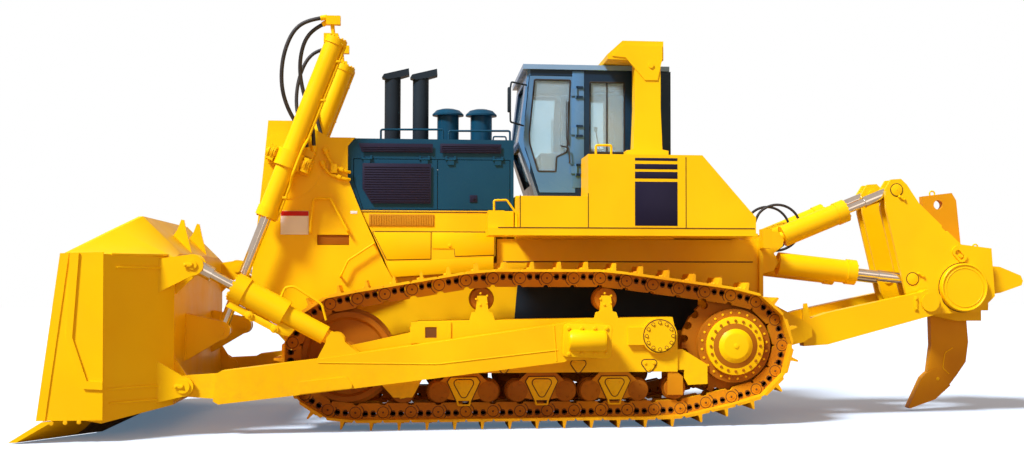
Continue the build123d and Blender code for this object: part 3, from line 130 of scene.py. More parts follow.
def sun(name, shines_from, strength, spread, colour):
    """A sun lamp that shines from the given direction towards the machine."""
    data = bpy.data.lights.new(name, "SUN")
    data.energy, data.color, data.angle = strength, colour, spread
    added(name, data).rotation_euler = Vector(shines_from).to_track_quat("Z", "Y").to_euler()


sun("key", (-0.80, -0.68, 1.15), 5.3, radians(12), (0.88, 0.93, 1.0))
sun("fill", (0.25, -1.0, 0.15), 0.30, radians(40), (1.0, 0.86, 0.72))

bpy.ops.mesh.primitive_plane_add(size=160, location=(0, 0, -0.002))
floor = bpy.context.object
floor.name = "floor"
floor_finish = bpy.data.materials.new("pale_floor")
floor_finish.use_nodes = True
tree = floor_finish.node_tree
to_camera = add_node(tree, "LightPath", {})["Is Camera Ray"]
tone = add_node(tree, "Mix", {"Factor": to_camera, "A": (0.34, 0.27, 0.20), "B": (0.64, 0.72, 0.82)},
                data_type="RGBA")["Result"]
matt = tree.nodes["Principled BSDF"]
fill(tree, matt, {"Base Color": tone, "Roughness": 0.9, "Specular IOR Level": 0.0})
level = add_node(tree, "Math", {0: to_camera, 1: 0.20}, operation="MULTIPLY")
glow = add_node(tree, "Emission", {"Color": (0.42, 0.70, 1.0), "Strength": level[0]})
matt_and_glow = add_node(tree, "AddShader", {0: matt.outputs[0], 1: glow[0]})
fill(tree, tree.nodes["Material Output"], {"Surface": matt_and_glow[0]})
floor.data.materials.append(floor_finish)

# %% [markdown]
# ## Finishes
# Machine paint is never one flat colour. A slow noise shifts its tone from panel to panel, a fine
# noise gives the orange-peel surface that breaks up reflections, and the roughness varies a little.
# Everything reads Object coordinates, which on these pieces are the machine's own metres.

# %% A paint with tone, orange peel and a darker brown towards the ground
def new_finish(name, metallic=0.0, roughness=0.4):
    """An empty principled material with its node tree, shader and coordinates."""
    finish = bpy.data.materials.new(name)
    finish.use_nodes = True
    tree = finish.node_tree
    shader = tree.nodes["Principled BSDF"]
    fill(tree, shader, {"Metallic": metallic, "Roughness": roughness})
    return finish, tree, shader, add_node(tree, "TexCoord", {})["Object"]


def noise(tree, place, scale, detail=3.0, rough=0.5):
    """A noise texture on the machine's own metres."""
    return add_node(tree, "TexNoise", {"Vector": place, "Scale": scale, "Detail": detail,
                                       "Roughness": rough})["Fac"]


def tones(tree, value, deep, light, low=0.3):
    """Two colours that blend over the middle of a value's range."""
    node = tree.nodes.new("ShaderNodeValToRGB")
    for element, position, tone in zip(node.color_ramp.elements, (low, 1 - low), (deep, light)):
        element.position, element.color = position, (*tone, 1)
    fill(tree, node, {"Fac": value})
    return node.outputs["Color"]


def bump(tree, shader, height, strength, distance):
    """Small relief from a height value."""
    relief = add_node(tree, "Bump", {"Strength": strength, "Distance": distance, "Height": height})
    fill(tree, shader, {"Normal": relief["Normal"]})


def remap(tree, value, low, high, to_low, to_high):
    """A value stretched from one range to another and held inside it."""
    return add_node(tree, "MapRange", {"Value": value, "From Min": low, "From Max": high,
                                       "To Min": to_low, "To Max": to_high})["Result"]


def paint(name, deep, light, roughness=0.35, coat=0.03, low_tone=None, browner_below=0.0):
    """Machine paint between two tones, with a darker brown in patches that grows towards the ground."""
    finish, tree, shader, place = new_finish(name)
    tone = tones(tree, noise(tree, place, 0.9), deep, light, 0.35)
    if low_tone:
        height = add_node(tree, "SeparateXYZ", {0: place})["Z"]
        low = remap(tree, height, 0.0, browner_below, 1.0, 0.0)
        patches = remap(tree, noise(tree, place, 9.0, 5.0, 0.7), 0.40, 0.75, 0.0, 0.55)
        share = add_node(tree, "Math", {0: low, 1: patches}, operation="MULTIPLY")
        tone = add_node(tree, "Mix", {"Factor": share[0], "A": tone, "B": low_tone}, data_type="RGBA")["Result"]
    streaks = noise(tree, place, 2.2, 4.0, 0.6)
    fill(tree, shader, {"Base Color": tone, "Specular IOR Level": 0.14, "Coat Weight": coat,
                        "Coat Roughness": 0.12,
                        "Roughness": remap(tree, streaks, 0.3, 0.7, roughness - 0.07, roughness + 0.12)})
    bump(tree, shader, noise(tree, place, 160.0, 2.0), 0.06, 0.002)
    return finish


paints = {      # deep tone, light tone, roughness, coat, darker brown, height up to which it reaches
    "body_yellow": ((0.92, 0.52, 0.001), (0.97, 0.60, 0.001)),
    "frame_yellow": ((0.89, 0.48, 0.001), (0.96, 0.57, 0.002), 0.45, 0.03, (0.42, 0.20, 0.02), 0.9),
    "chain_yellow": ((0.78, 0.34, 0.003), (0.94, 0.52, 0.004), 0.5, 0.03, (0.36, 0.13, 0.010), 2.4),
    "chain_brown": ((0.30, 0.085, 0.003), (0.44, 0.145, 0.004), 0.5, 0.0),
    "chain_dark": ((0.10, 0.035, 0.012), (0.16, 0.060, 0.015), 0.6, 0.0),
    # The yellow paint darkened to a brown of painted shade, for the track's links and the bogies.
    "painted_shade_brown": ((0.40, 0.12, 0.003), (0.66, 0.26, 0.004), 0.5, 0.0),
    "grille_brown": ((0.45, 0.18, 0.010), (0.60, 0.27, 0.012), 0.5, 0.0),
    # The ripper's shank and tip are the yellow paint darkened to painted shade.
    "shank_painted_shade": ((0.60, 0.24, 0.003), (0.74, 0.33, 0.003), 0.45),
    "hood_blue": ((0.003, 0.046, 0.090), (0.005, 0.060, 0.115), 0.3),
    "hood_vent": ((0.014, 0.012, 0.030), (0.020, 0.017, 0.040), 0.4, 0.0),
    "cab_blue": ((0.060, 0.17, 0.33), (0.090, 0.22, 0.40), 0.25, 0.3),
    # The cab blue lightened with painted light from above, for the roof.
    "cab_painted_light": ((0.17, 0.31, 0.48), (0.22, 0.37, 0.56), 0.25, 0.3),
    "navy": ((0.006, 0.020, 0.045), (0.010, 0.034, 0.070), 0.3),
    "mark_navy": ((0.010, 0.008, 0.026), (0.014, 0.012, 0.036), 0.35),
    "stack_black": ((0.012, 0.018, 0.026), (0.018, 0.030, 0.042), 0.5, 0.0),
    "sign_white": ((0.78, 0.76, 0.72), (0.86, 0.85, 0.82), 0.4),
    "sign_red": ((0.50, 0.012, 0.010), (0.60, 0.020, 0.015), 0.4),
}
finishes = {name: paint(name, *values) for name, values in paints.items()}
print("paints:", ", ".join(finishes))

# %% [markdown]
# ### Metals, rubber, glass and trim
# Chrome rods are nearly smooth. Worn steel has a patchy tone and roughness. Rubber, cloth and
# plastic are dark and matt with a fine grain. The glass is pale blue and a little milky.

# %% Chrome, steel, rubber, plastic, fabric and glass
def patchy(name, deep, light, tone_noise, rough_noise, rough_range, metallic=0.0, relief=None):
    """A surface whose tone and roughness follow two noises, with a fine relief if one is given."""
    finish, tree, shader, place = new_finish(name, metallic)
    roughness = remap(tree, noise(tree, place, *rough_noise), 0.3, 0.7, *rough_range)
    fill(tree, shader, {"Base Color": tones(tree, noise(tree, place, *tone_noise), deep, light),
                        "Roughness": roughness})
    if relief:
        grain, detail, strength, distance = relief
        bump(tree, shader, noise(tree, place, grain, detail), strength, distance)
    return finish


def clear_glass(name):
    """Pale glass that lets most of the light through."""
    finish, tree, shader, place = new_finish(name, 0.0, 0.02)
    fill(tree, shader, {"Transmission Weight": 0.74, "IOR": 1.15,
                        "Base Color": tones(tree, noise(tree, place, 1.5), (0.60, 0.85, 1.0), (0.78, 0.94, 1.0))})
    return finish


finishes["chrome"] = patchy("chrome", (0.70, 0.66, 0.60), (0.82, 0.78, 0.72), (5.0,), (40.0, 4.0), (0.08, 0.2), 1.0)
finishes["worn_steel"] = patchy("worn_steel", (0.16, 0.13, 0.11), (0.36, 0.33, 0.30), (14.0, 6.0, 0.7), (30.0, 5.0),
                                (0.3, 0.6), 0.9, (120.0, 4.0, 0.2, 0.002))
matt_finishes = {       # deep tone, light tone, roughness, grain, relief
    "hose_rubber": ((0.012, 0.011, 0.011), (0.030, 0.024, 0.022), 0.6, 300.0, 0.25),
    "dark_plastic": ((0.020, 0.022, 0.026), (0.035, 0.038, 0.045), 0.55, 400.0, 0.25),
    "seat_cloth": ((0.018, 0.018, 0.020), (0.032, 0.032, 0.036), 0.85, 500.0, 0.5),
    "core_dark": ((0.010, 0.010, 0.011), (0.030, 0.030, 0.032), 0.7, 200.0, 0.4),
    "engine_cast": ((0.50, 0.30, 0.02), (0.62, 0.38, 0.03), 0.55, 90.0, 0.4),
}
for name, (deep, light, rough, grain, relief) in matt_finishes.items():
    finishes[name] = patchy(name, deep, light, (12.0, 4.0), (25.0, 3.0), (rough - 0.08, rough + 0.08), 0.0,
                            (grain, 2.0, relief, 0.001))
finishes["glass"] = clear_glass("glass")
print("finishes:", len(finishes))

# %% [markdown]
# ### Which node wears which finish
# One table names the nodes of each finish. A node that isn't in it is body yellow.

# %% Give every CAD node its finish
finish_of = {
    # The bogies wear the brown of painted shade.
    "painted_shade_brown": ["bogies"],
    "frame_yellow": ["main_frame", "equalizer_bar", "rear_bracket", "final_drives", "track_frames",
                     "push_arms", "side_cowls"],
    "chain_yellow": ["tracks"],
    "chain_brown": ["sprockets", "idlers", "track_rollers", "carrier_rollers"],
    "hood_blue": ["hood_shell", "engine_door_front_left", "engine_door_front_right",
                  "engine_door_rear_left", "engine_door_rear_right", "air_pre_cleaners"],
    "cab_blue": ["cab_door_left", "cab_door_right"],
    # The roof wears the cab blue with painted light from above.
    "cab_painted_light": ["cab_roof"],
    "navy": ["cab_shell"],
    # The shank and tip wear the yellow darkened to painted shade.
    "shank_painted_shade": ["ripper_shank", "ripper_tip"],
    "stack_black": ["exhaust_stacks"],
    "chrome": ["pitch_rods", "lift_rods", "ripper_tilt_rods", "ripper_lift_rods"],
    "glass": ["cab_glass", "door_glass_left", "door_glass_right"],
    "dark_plastic": ["control_consoles"],
    "seat_cloth": ["operator_seat"],
    "core_dark": ["radiator_core"],
    "engine_cast": ["engine_block"],
}
finish_by_node = {node: finish for finish, members in finish_of.items() for node in members}
for name, node in nodes.items():
    finish = finishes[finish_by_node.get(name, "body_yellow")]
    for slot in node.material_slots:
        slot.material = finish
    if not node.material_slots:
        node.data.materials.append(finish)
print("nodes with a finish of their own:", len(finish_by_node))

# %% [markdown]
# ## Hydraulic hoses
# The hoses are rubber over steel braid, stiff and heavy, so each keeps one even curve between the
# two crimped ends that hold it. Each is a round bevel along a smooth spline through the CAD route.
# The lift hoses bow out from the cylinder's head and come down behind it to the yoke, and all of
# them ride with the cylinder. The ripper hoses loop behind the hull.

# %% Hoses along their routes
def tube(name, places, r, roundness, steps):
    """A round bar with closed ends along a smooth spline through some places."""
    curve = bpy.data.curves.new(name, "CURVE")
    curve.dimensions = "3D"
    curve.bevel_depth, curve.bevel_resolution, curve.resolution_u = r, roundness, steps
    curve.use_fill_caps = True
    spline = curve.splines.new("NURBS")
    spline.points.add(len(places) - 1)
    for point, place in zip(spline.points, places):
        point.co = (*place, 1.0)
    spline.order_u = 3
    spline.use_endpoint_u = True
    return added(name, curve)


lift_route = [(-3.050, -1.060, 4.868), (-3.215, -1.060, 4.838), (-3.370, -1.060, 4.715), (-3.470, -1.058, 4.480),
              (-3.510, -1.045, 4.230), (-3.500, -1.015, 3.990), (-3.430, -0.965, 3.770), (-3.330, -0.915, 3.600),
              (-3.250, -0.900, 3.450), (-3.205, -0.900, 3.325)]
return_route = [(-3.030, -1.010, 4.800), (-3.140, -1.000, 4.740), (-3.240, -0.985, 4.610), (-3.290, -0.965, 4.430),
                (-3.300, -0.940, 4.240), (-3.275, -0.915, 4.060), (-3.225, -0.903, 3.880), (-3.170, -0.900, 3.690),
                (-3.135, -0.900, 3.510), (-3.130, -0.900, 3.345)]
ripper_route = [(2.450, -0.250, 2.405), (2.486, -0.252, 2.551), (2.586, -0.258, 2.662), (2.732, -0.266, 2.715),
                (2.885, -0.272, 2.693), (3.006, -0.274, 2.605), (3.070, -0.270, 2.475), (3.065, -0.262, 2.330),
                (2.992, -0.250, 2.204), (2.865, -0.238, 2.125), (2.707, -0.228, 2.103), (2.557, -0.222, 2.099)]
hoses = {               # route, radius, length along the CAD tube, body
    "lift_hose": (lift_route, 0.024, 1.848, "lift_cylinder_barrels"),
    "lift_return_hose": (return_route, 0.024, 1.582, "lift_cylinder_barrels"),
    "ripper_hose": (ripper_route, 0.017, 1.633, "hull"),
}
for name, (route, radius, length, body) in hoses.items():
    for side, word in ((1, "left"), (-1, "right")):
        places = [(x, side * y, z) for x, y, z in route]
        hose = tube(f"{name}_{word}_rubber", places, radius, 4, 10)
        hose.data.materials.append(finishes["hose_rubber"])
        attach(hose, body)
        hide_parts(f"{name}_{word}")
print("hoses:", ", ".join(hoses))

# %% [markdown]
# ## Small pieces: how they are made
# Bolts, rails, plates and slats are the fitter's work. Each starts as a primitive, an outline or a
# curve at its place in the machine's metres. Bolts and other repeats are modelled once and copied.
# The right side's pieces are mirrored copies of the left side's.

# %% Making, copying and joining pieces
def pick(item):
    """This object alone selected and active."""
    bpy.ops.object.select_all(action="DESELECT")
    item.select_set(True)
    bpy.context.view_layer.objects.active = item


def renamed(item, name):
    """An object and its mesh under one name."""
    item.name = item.data.name = name
    return item


def settle(name):
    """The object just made, named, with its place moved into its mesh."""
    bpy.ops.object.transform_apply(location=True, rotation=True, scale=True)
    return renamed(bpy.context.object, name)


def bevelled(item, width, **limits):
    """The piece with its edges rounded, unless the width is nothing."""
    if width:
        pick(item)
        modifier = item.modifiers.new("Bevel", "BEVEL")
        modifier.width, modifier.segments = width, 2
        for key, value in limits.items():
            setattr(modifier, key, value)
        bpy.ops.object.modifier_apply(modifier=modifier.name)
    return item


def facing(direction):
    """The turn that stands a round piece's axis along a direction."""
    return Vector(direction).to_track_quat("Z", "Y").to_euler()


def plate(name, low, high, edge=0.0, tilt=0.0):
    """A box between two corners, with bevelled edges, turned about Y by a tilt."""
    centre = [(a + b) / 2 for a, b in zip(low, high)]
    bpy.ops.mesh.primitive_cube_add(size=1, location=centre, rotation=(0, tilt, 0))
    bpy.context.object.scale = [abs(b - a) for a, b in zip(low, high)]
    return bevelled(settle(name), edge)


def drum(name, centre, r, length, edge=0.0, sides=32, towards=(0, 1, 0)):
    """A round bar with bevelled rims, along a direction."""
    bpy.ops.mesh.primitive_cylinder_add(vertices=sides, radius=r, depth=length, location=centre,
                                        rotation=facing(towards))
    return bevelled(settle(name), edge, limit_method="ANGLE")


def in_edit_mode(item, *steps):
    """The whole mesh put through some steps, then its normals turned outwards."""
    pick(item)
    bpy.ops.object.mode_set(mode="EDIT")
    for step, values in (*steps, (bpy.ops.mesh.normals_make_consistent, {"inside": False})):
        bpy.ops.mesh.select_all(action="SELECT")
        step(**values)
    bpy.ops.object.mode_set(mode="OBJECT")
    return item


def outline_plate(name, points, y0, y1, edge=0.003):
    """A flat plate with the given side outline, pressed out from one flat face."""
    mesh = bpy.data.meshes.new(name)
    mesh.from_pydata([(x, y0, z) for x, z in points], [], [list(range(len(points)))])
    press = {"TRANSFORM_OT_translate": {"value": (0, y1 - y0, 0)}}
    return bevelled(in_edit_mode(added(name, mesh), (bpy.ops.mesh.extrude_region_move, press)), edge)


def rail(name, points, r, bend=0.04):
    """A bent round bar: straight runs with a short smooth bend at each corner."""
    corners = [Vector(p) for p in points]
    line = [corners[0]]
    for before, corner, after in zip(corners, corners[1:], corners[2:]):
        line += [corner + (before - corner).normalized() * bend, corner,
                 corner + (after - corner).normalized() * bend]
    item = tube(name, [*line, corners[-1]], r, 3, 4)
    pick(item)
    bpy.ops.object.convert(target="MESH")
    return in_edit_mode(item, (bpy.ops.mesh.remove_doubles, {"threshold": 0.00005}))


def side_rail(name, y, places, r, bend=0.04):
    """A rail that lies in one side plane."""
    return rail(name, [(x, y, z) for x, z in places], r, bend)


def copied(item, name, matrix):
    """A copy with its own mesh, moved by a matrix."""
    twin = added(name, item.data.copy())
    renamed(twin, name)
    twin.data.transform(matrix)
    if matrix.determinant() < 0:
        twin.data.flip_normals()
    return twin


def with_moves(item, moves):
    """Copies of a piece modelled at the origin, one for each move; the model itself goes."""
    made = [copied(item, f"{item.name}_{k}", move) for k, move in enumerate(moves)]
    bpy.data.objects.remove(item)
    return made


def at_each(item, places):
    """Copies of a piece modelled at the origin, one at each place."""
    return with_moves(item, [Matrix.Translation(place) for place in places])


def joined(name, parts):
    """Several pieces as one object."""
    pick(parts[0])
    for part in parts:
        part.select_set(True)
    bpy.ops.object.join()
    return renamed(bpy.context.object, name)


def dressed(item, finish, body="hull"):
    """The piece in its finish, smooth up to its edges, riding on its body."""
    item.data.materials.clear()
    item.data.materials.append(finishes[finish])
    pick(item)
    bpy.ops.object.shade_smooth_by_angle(angle=radians(35))
    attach(item, body)


def both_sides(item, finish, bodies="hull"):
    """The left piece and its mirror image, dressed; they ride on one body, or on a left and a right one."""
    left_body, right_body = bodies if isinstance(bodies, tuple) else (bodies, bodies)
    twin = copied(item, f"{item.name}_right", Matrix.Scale(-1, 4, (0, 1, 0)))
    dressed(renamed(item, f"{item.name}_left"), finish, left_body)
    dressed(twin, finish, right_body)


def fitted(name, parts, finish, bodies="hull"):
    """Several pieces as one, and its mirror image."""
    both_sides(joined(name, parts), finish, bodies)


def bolt(name, r, height):
    """A hexagon bolt head with a chamfered top, standing out towards -Y from the origin."""
    return drum(name, (0, -height / 2, 0), r, height, height * 0.18, 6)


def round_places(x, y, z, r, count, first=0.0):
    """Places spaced evenly on a circle in the side plane."""
    return [(x + r * cos(first + 2 * pi * k / count), y, z + r * sin(first + 2 * pi * k / count))
            for k in range(count)]


print("piece makers ready")

# %% [markdown]
# ## The track chains
# Each shoe is held to its link by two rows of four bolts with hexagon heads, and each pin end shows
# a small centring hole, drawn as a dark disc of painted shade. The pins' places are read from the CAD
# chain itself: the flat ends of its pins are the only faces that lie furthest out on the chain's side.

# %% Pins of the chain, in order, and the links between them
track_y = -1.385
pin_face_y = track_y - 0.170
groups = []
for face in nodes["tracks"].data.polygons:
    if abs(face.center.y - pin_face_y) < 0.002 and face.normal.y < -0.9:
        near = next((g for g in groups if (g[0] - face.center).length < 0.07), None)
        if near is None:
            groups.append([face.center.copy()])
        else:
            near.append(face.center.copy())
pins = [sum(g, Vector()) / len(g) for g in groups]
middle = sum(pins, Vector()) / len(pins)
chain = [min(pins, key=lambda p: p.x)]
left_over = [p for p in pins if p is not chain[0]]
while left_over:
    nearest = sorted(left_over, key=lambda p: (p - chain[-1]).length)[:2]
    ahead = max(nearest, key=lambda p: p.z) if len(chain) == 1 else nearest[0]
    chain.append(ahead)
    left_over = [p for p in left_over if p is not ahead]
links = []              # this pin, the next pin, the direction between them, the direction outwards
for here, there in zip(chain, chain[1:] + chain[:1]):
    along = (there - here).normalized()
    outward = Vector((-along.z, 0, along.x))
    if (here + outward - middle).length < (here - middle).length:
        outward = -outward
    links.append((here, there, along, outward))
print("pins:", len(chain), "first", [round(v, 3) for v in chain[0]])

# %% Shoe bolts and pin ends
def turned(along, across, outward):
    """The turn that lays X, Y and Z along three directions."""
    return Matrix((along, across, outward)).transposed().to_4x4()


def in_side_plane(place):
    """A move to a place's X and Z."""
    return Matrix.Translation((place.x, 0, place.z))


shoe_bolt = drum("shoe_bolt", (0, 0, 0.012), 0.024, 0.024, 0.004, 6, (0, 0, 1))
bolt_moves = []
for here, there, along, outward in links:
    turn = turned(along, outward.cross(along), outward)
    for t in (0.30, 0.44):
        for dy in (-0.185, -0.075, 0.075, 0.185):
            place = here.lerp(there, t) + outward * 0.100
            place.y = track_y + dy
            bolt_moves.append(Matrix.Translation(place) @ turn)
shoe_bolts = with_moves(shoe_bolt, bolt_moves)
# Each pin's centring hole is a small dark disc of painted shade.
pin_hole_shades = at_each(drum("pin_hole_shade", (0, 0, 0), 0.012, 0.006, 0.002, 16),
                    [(pin.x, pin_face_y - 0.002, pin.z) for pin in chain])
fitted("shoe_bolts", shoe_bolts, "chain_yellow")
fitted("pin_hole_shades", pin_hole_shades, "chain_dark")
print("shoe bolts per side:", len(bolt_moves))

# %% [markdown]
# ## Wheels and covers of the running gear
# The sprocket's hub cover, the roller ends, the idler and the carrier rollers' covers are bolted on
# in rings. A ring is one bolt head copied round its centre.

# %% Rings of bolts
hub_x, hub_z = 1.889, 0.940
idler_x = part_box("idlers")[0][0] + 0.585
roller_places = [(x, 0.425) for x in (-2.040, -1.621, -1.055, -0.711, -0.145, 0.149, 0.715)] + [(1.165, 0.441)]
rings = [               # centre x, z, face y, ring radius, bolt radius, count, first angle
    (hub_x, hub_z, -1.560, 0.395, 0.016, 24, 0.1),
    *((x, z, -1.550, 0.075, 0.014, 5, 0.6) for x, z in roller_places),
    (idler_x, 0.835, -1.550, 0.110, 0.015, 6, 0.3),
    *((x, 1.501, -1.620, 0.070, 0.014, 5, 0.6) for x in (-1.128, 0.336)),
]
ring_pieces = []
for x, z, y, ring_r, r, count, first in rings:
    ring_pieces += at_each(bolt("ring_bolt", r, 0.012), round_places(x, y, z, ring_r, count, first))
fitted("running_gear_bolts", ring_pieces, "frame_yellow")
print("rings:", len(rings))

# %% [markdown]
# ## Hood louvres, grille, covers and latches
# The hood breathes through louvred panels: a dark panel with a row of narrow slats. The big one
# lies on the front engine door and swings with it. Below the hood are a grille and two covers.

# %% Louvres
def louvre(name, points, y, pitch, thick, bodies="hull"):
    """A dark panel with raised horizontal slats that keep inside its outline."""
    pieces = [outline_plate(name, points, y, y - 0.004, 0.0015)]
    low, high = min(z for _, z in points), max(z for _, z in points)
    for k in range(int((high - low - pitch) / pitch)):
        z = low + pitch * (k + 0.9)
        xs = sorted(x0 + (x1 - x0) * (z - z0) / (z1 - z0)
                    for (x0, z0), (x1, z1) in zip(points, points[1:] + points[:1]) if (z0 - z) * (z1 - z) < 0)
        if len(xs) == 2:
            pieces.append(plate(f"{name}_slat", (xs[0] + 0.02, y - 0.011, z - thick / 2),
                                (xs[1] - 0.02, y - 0.003, z + thick / 2), 0.002))
    fitted(name, pieces, "hood_vent", bodies)


hood_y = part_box("hood_shell")[0][1]
door_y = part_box("engine_door_front_left")[0][1]
louvre("hood_top_vent_front", [(-2.560, 3.285), (-1.700, 3.285), (-1.700, 3.395), (-2.600, 3.395)],
       hood_y, 0.022, 0.006)
louvre("hood_top_vent_rear", [(-1.610, 3.285), (-0.860, 3.285), (-0.860, 3.400), (-1.610, 3.400)],
       hood_y, 0.022, 0.006)
louvre("hood_side_vent", [(-2.440, 2.660), (-1.720, 2.660), (-1.720, 3.150), (-2.550, 3.150), (-2.550, 2.840)],
       door_y, 0.030, 0.008, ("left_front_engine_door", "right_front_engine_door"))
print("hood side", round(hood_y, 4), "door", round(door_y, 4))

# %% Yellow grille, lower covers and latches
grille = [plate("cowl_grille", (-2.470, -0.790, 2.385), (-1.680, -0.781, 2.530), 0.003)]
grille += [plate("cowl_bar", (-2.455 + k * 0.030, -0.797, 2.393), (-2.441 + k * 0.030, -0.788, 2.522))
           for k in range(26)]
fitted("cowl_grille", grille, "grille_brown")
front_cover = [(-2.420, 2.310), (-1.720, 2.310), (-1.720, 1.985), (-2.250, 1.975)]
rear_cover = [(-1.700, 2.310), (-0.945, 2.310), (-0.945, 2.035), (-1.420, 2.020), (-1.430, 2.110), (-1.700, 2.110)]
covers = [outline_plate("cowl_cover", outline, -0.782, -0.789) for outline in (front_cover, rear_cover)]
covers.append(drum("cowl_latch", (-1.490, -0.792, 2.150), 0.022, 0.012, 0.003))
fitted("cowl_covers", covers, "body_yellow")
for which, x in (("front", -2.170), ("rear", -1.200)):
    latch = [plate("latch_frame", (x - 0.045, -0.790, 2.680), (x + 0.045, -0.779, 2.770), 0.006),
             drum("latch_knob", (x, -0.794, 2.725), 0.014, 0.012, 0.003)]
    fitted(f"{which}_door_latch", latch, "hood_vent",
           (f"left_{which}_engine_door", f"right_{which}_engine_door"))
print("hood dressed")

# %% [markdown]
# ## Rails, handles and the step pocket
# Grab rails are bent from round bar: straight legs with short bends, their feet run into the panel.
# The step pocket in the guard gets a lining in a brown of painted shade.

# %% Rails on the hood, the guard and the deck, and the pocket's lining
guard_y, deck_y = -0.820, -1.700
foot, stand, on_deck = guard_y + 0.01, guard_y - 0.075, deck_y + 0.10
blue_rails = [side_rail("hood_rail", -0.700, places, r, bend) for places, r, bend in (
    ([(-2.334, 3.45), (-2.334, 3.575), (-1.576, 3.585), (-1.576, 3.45)], 0.013, 0.05),
    ([(-1.502, 3.45), (-1.502, 3.568), (-0.747, 3.578), (-0.747, 3.45)], 0.013, 0.05),
    ([(-0.958, 3.45), (-0.950, 3.505), (-0.800, 3.505), (-0.790, 3.45)], 0.010, 0.03))]
fitted("hood_rails", blue_rails, "hood_blue")
yellow_rails = [
    rail("guard_handle", [(-3.170, foot, 2.300), (-3.165, stand, 2.300), (-3.130, stand, 2.710),
                          (-2.930, stand, 2.715), (-2.715, stand, 2.310), (-2.712, foot, 2.305)], 0.014, 0.05),
    rail("cowl_handle", [(-2.410, guard_y + 0.05, 2.170), (-2.410, stand, 2.165), (-2.715, stand, 1.960),
                         (-2.800, stand, 1.770), (-2.800, foot, 1.765)], 0.014, 0.05),
    side_rail("step_handle", on_deck, [(-0.990, 2.500), (-0.990, 2.660), (-0.840, 2.665), (-0.725, 2.500),
                                       (-0.725, 2.300)], 0.013),
    side_rail("tank_handle", on_deck, [(0.215, 3.20), (0.215, 3.325), (0.400, 3.325), (0.400, 3.20)], 0.014, 0.05),
]
fitted("grab_rails", yellow_rails, "body_yellow")
rail_on_arm = side_rail("pitch_cylinder_rail", -1.950, [(-3.415, 1.500), (-3.355, 1.640), (-3.260, 1.650),
                                                        (-2.950, 1.450), (-2.900, 1.270)], 0.014, 0.06)
both_sides(rail_on_arm, "body_yellow", "pitch_cylinder_barrels")
# The pocket's lining closes it, and its brown is painted shade.
both_sides(plate("step_lining", (-3.085, -0.800, 2.155), (-2.707, -0.650, 2.272), 0.004), "chain_brown")
print("rails bent, pocket lined")

# %% [markdown]
# ## Marks on the sides, left blank
# The deck carries a block of dark bars that close to a solid panel, and the guard a white warning
# plate. Their words and numbers are left off; the plates stay blank.

# %% Dark bars, blank panel and blank plates
bars = [plate("deck_bar", (0.668, deck_y - 0.003, low), (1.178, deck_y + 0.001, high), 0.001)
        for high, low in ((3.170, 3.138), (3.098, 3.037), (3.006, 2.926), (2.888, 2.366))]
fitted("deck_bars", bars, "mark_navy")
signs = [plate("guard_sign", (-3.520, guard_y - 0.012, 2.275), (-3.190, guard_y - 0.008, 2.560), 0.001),
         plate("guard_small_plate", (-2.690, guard_y - 0.003, 2.530), (-2.610, guard_y + 0.001, 2.565), 0.001)]
fitted("blank_plates", signs, "sign_white")
band = plate("sign_band", (-3.518, guard_y - 0.014, 2.500), (-3.192, guard_y - 0.010, 2.558), 0.001)
both_sides(band, "sign_red")
print("marks placed")

# %% [markdown]
# ## Cylinders
# Every gland is a ring of cap screws round the rod. A steel pipe runs along each lift cylinder, held
# by clips, and carries oil to the lower port. The trunnion caps on the yoke are ribbed castings.

# %% Gland screws, pipes and clips
lift_line = (-3.406, -1.060, 3.165), (-4.171, -1.060, 1.131)
pitch_line = (-2.789, -1.950, 1.035), (-4.360, -1.950, 1.890)
tilt_line = (2.650, -0.480, 2.235), (4.250, -0.480, 2.890)
ripper_lift_line = (2.570, -0.480, 1.955), (4.452, -0.480, 1.743)


def axes_of(line):
    """A cylinder's direction and the direction beside it: behind the lift cylinder, below the pitch cylinder."""
    direction = (Vector(line[1]) - Vector(line[0])).normalized()
    return direction, direction.cross(Vector((0, 1, 0))).normalized()


def beside(line, distance, offset, y=0.0):
    """A point along a cylinder's axis, moved beside it and across the machine."""
    direction, aside = axes_of(line)
    return Vector(line[0]) + direction * distance + aside * offset + Vector((0, y, 0))


def gland(name, line, distance, ring_r, r, count=12):
    """Screw heads round the rod on the end of a barrel."""
    direction, aside = axes_of(line)
    centre = Vector(line[0]) + direction * distance
    angles = [2 * pi * k / count + 0.3 for k in range(count)]
    return joined(name, [drum("gland_screw", centre + (Vector((0, 1, 0)) * cos(a) + aside * sin(a)) * ring_r,
                              r, 0.022, 0.003, 6, direction) for a in angles])


glands = [              # name, axis, distance of the barrel's face, ring, screw, body
    ("lift_gland", lift_line, 0.745, 0.108, 0.014, "lift_cylinder_barrels"),
    ("lift_head", lift_line, -1.568, 0.108, 0.014, "lift_cylinder_barrels"),
    ("pitch_gland", pitch_line, 1.298, 0.130, 0.018, "pitch_cylinder_barrels"),
    ("tilt_gland", tilt_line, 1.048, 0.115, 0.014, "tilt_cylinder_barrels"),
    ("ripper_lift_gland", ripper_lift_line, 1.172, 0.125, 0.015, "ripper_lift_cylinder_barrels"),
]
for *measures, body in glands:
    both_sides(gland(*measures), "frame_yellow", body)

pipe_route = [(-1.545, 0.10, -0.04), (-1.530, 0.132, -0.05), (-0.30, 0.128, -0.06), (-0.18, 0.120, -0.165),
              (0.16, 0.120, -0.165), (0.27, 0.128, -0.06), (0.690, 0.132, -0.05), (0.700, 0.10, -0.04)]
pipework = [rail("lift_pipe", [beside(lift_line, *place) for place in pipe_route], 0.017, 0.06)]
clip_half = Vector((0.030, 0.030, 0.014))
for distance in (-1.30, -0.80, 0.45):
    centre = beside(lift_line, distance, 0.122, -0.055)
    pipework.append(plate("pipe_clip", centre - clip_half, centre + clip_half, 0.004))
fitted("lift_pipes", pipework, "body_yellow", "lift_cylinder_barrels")

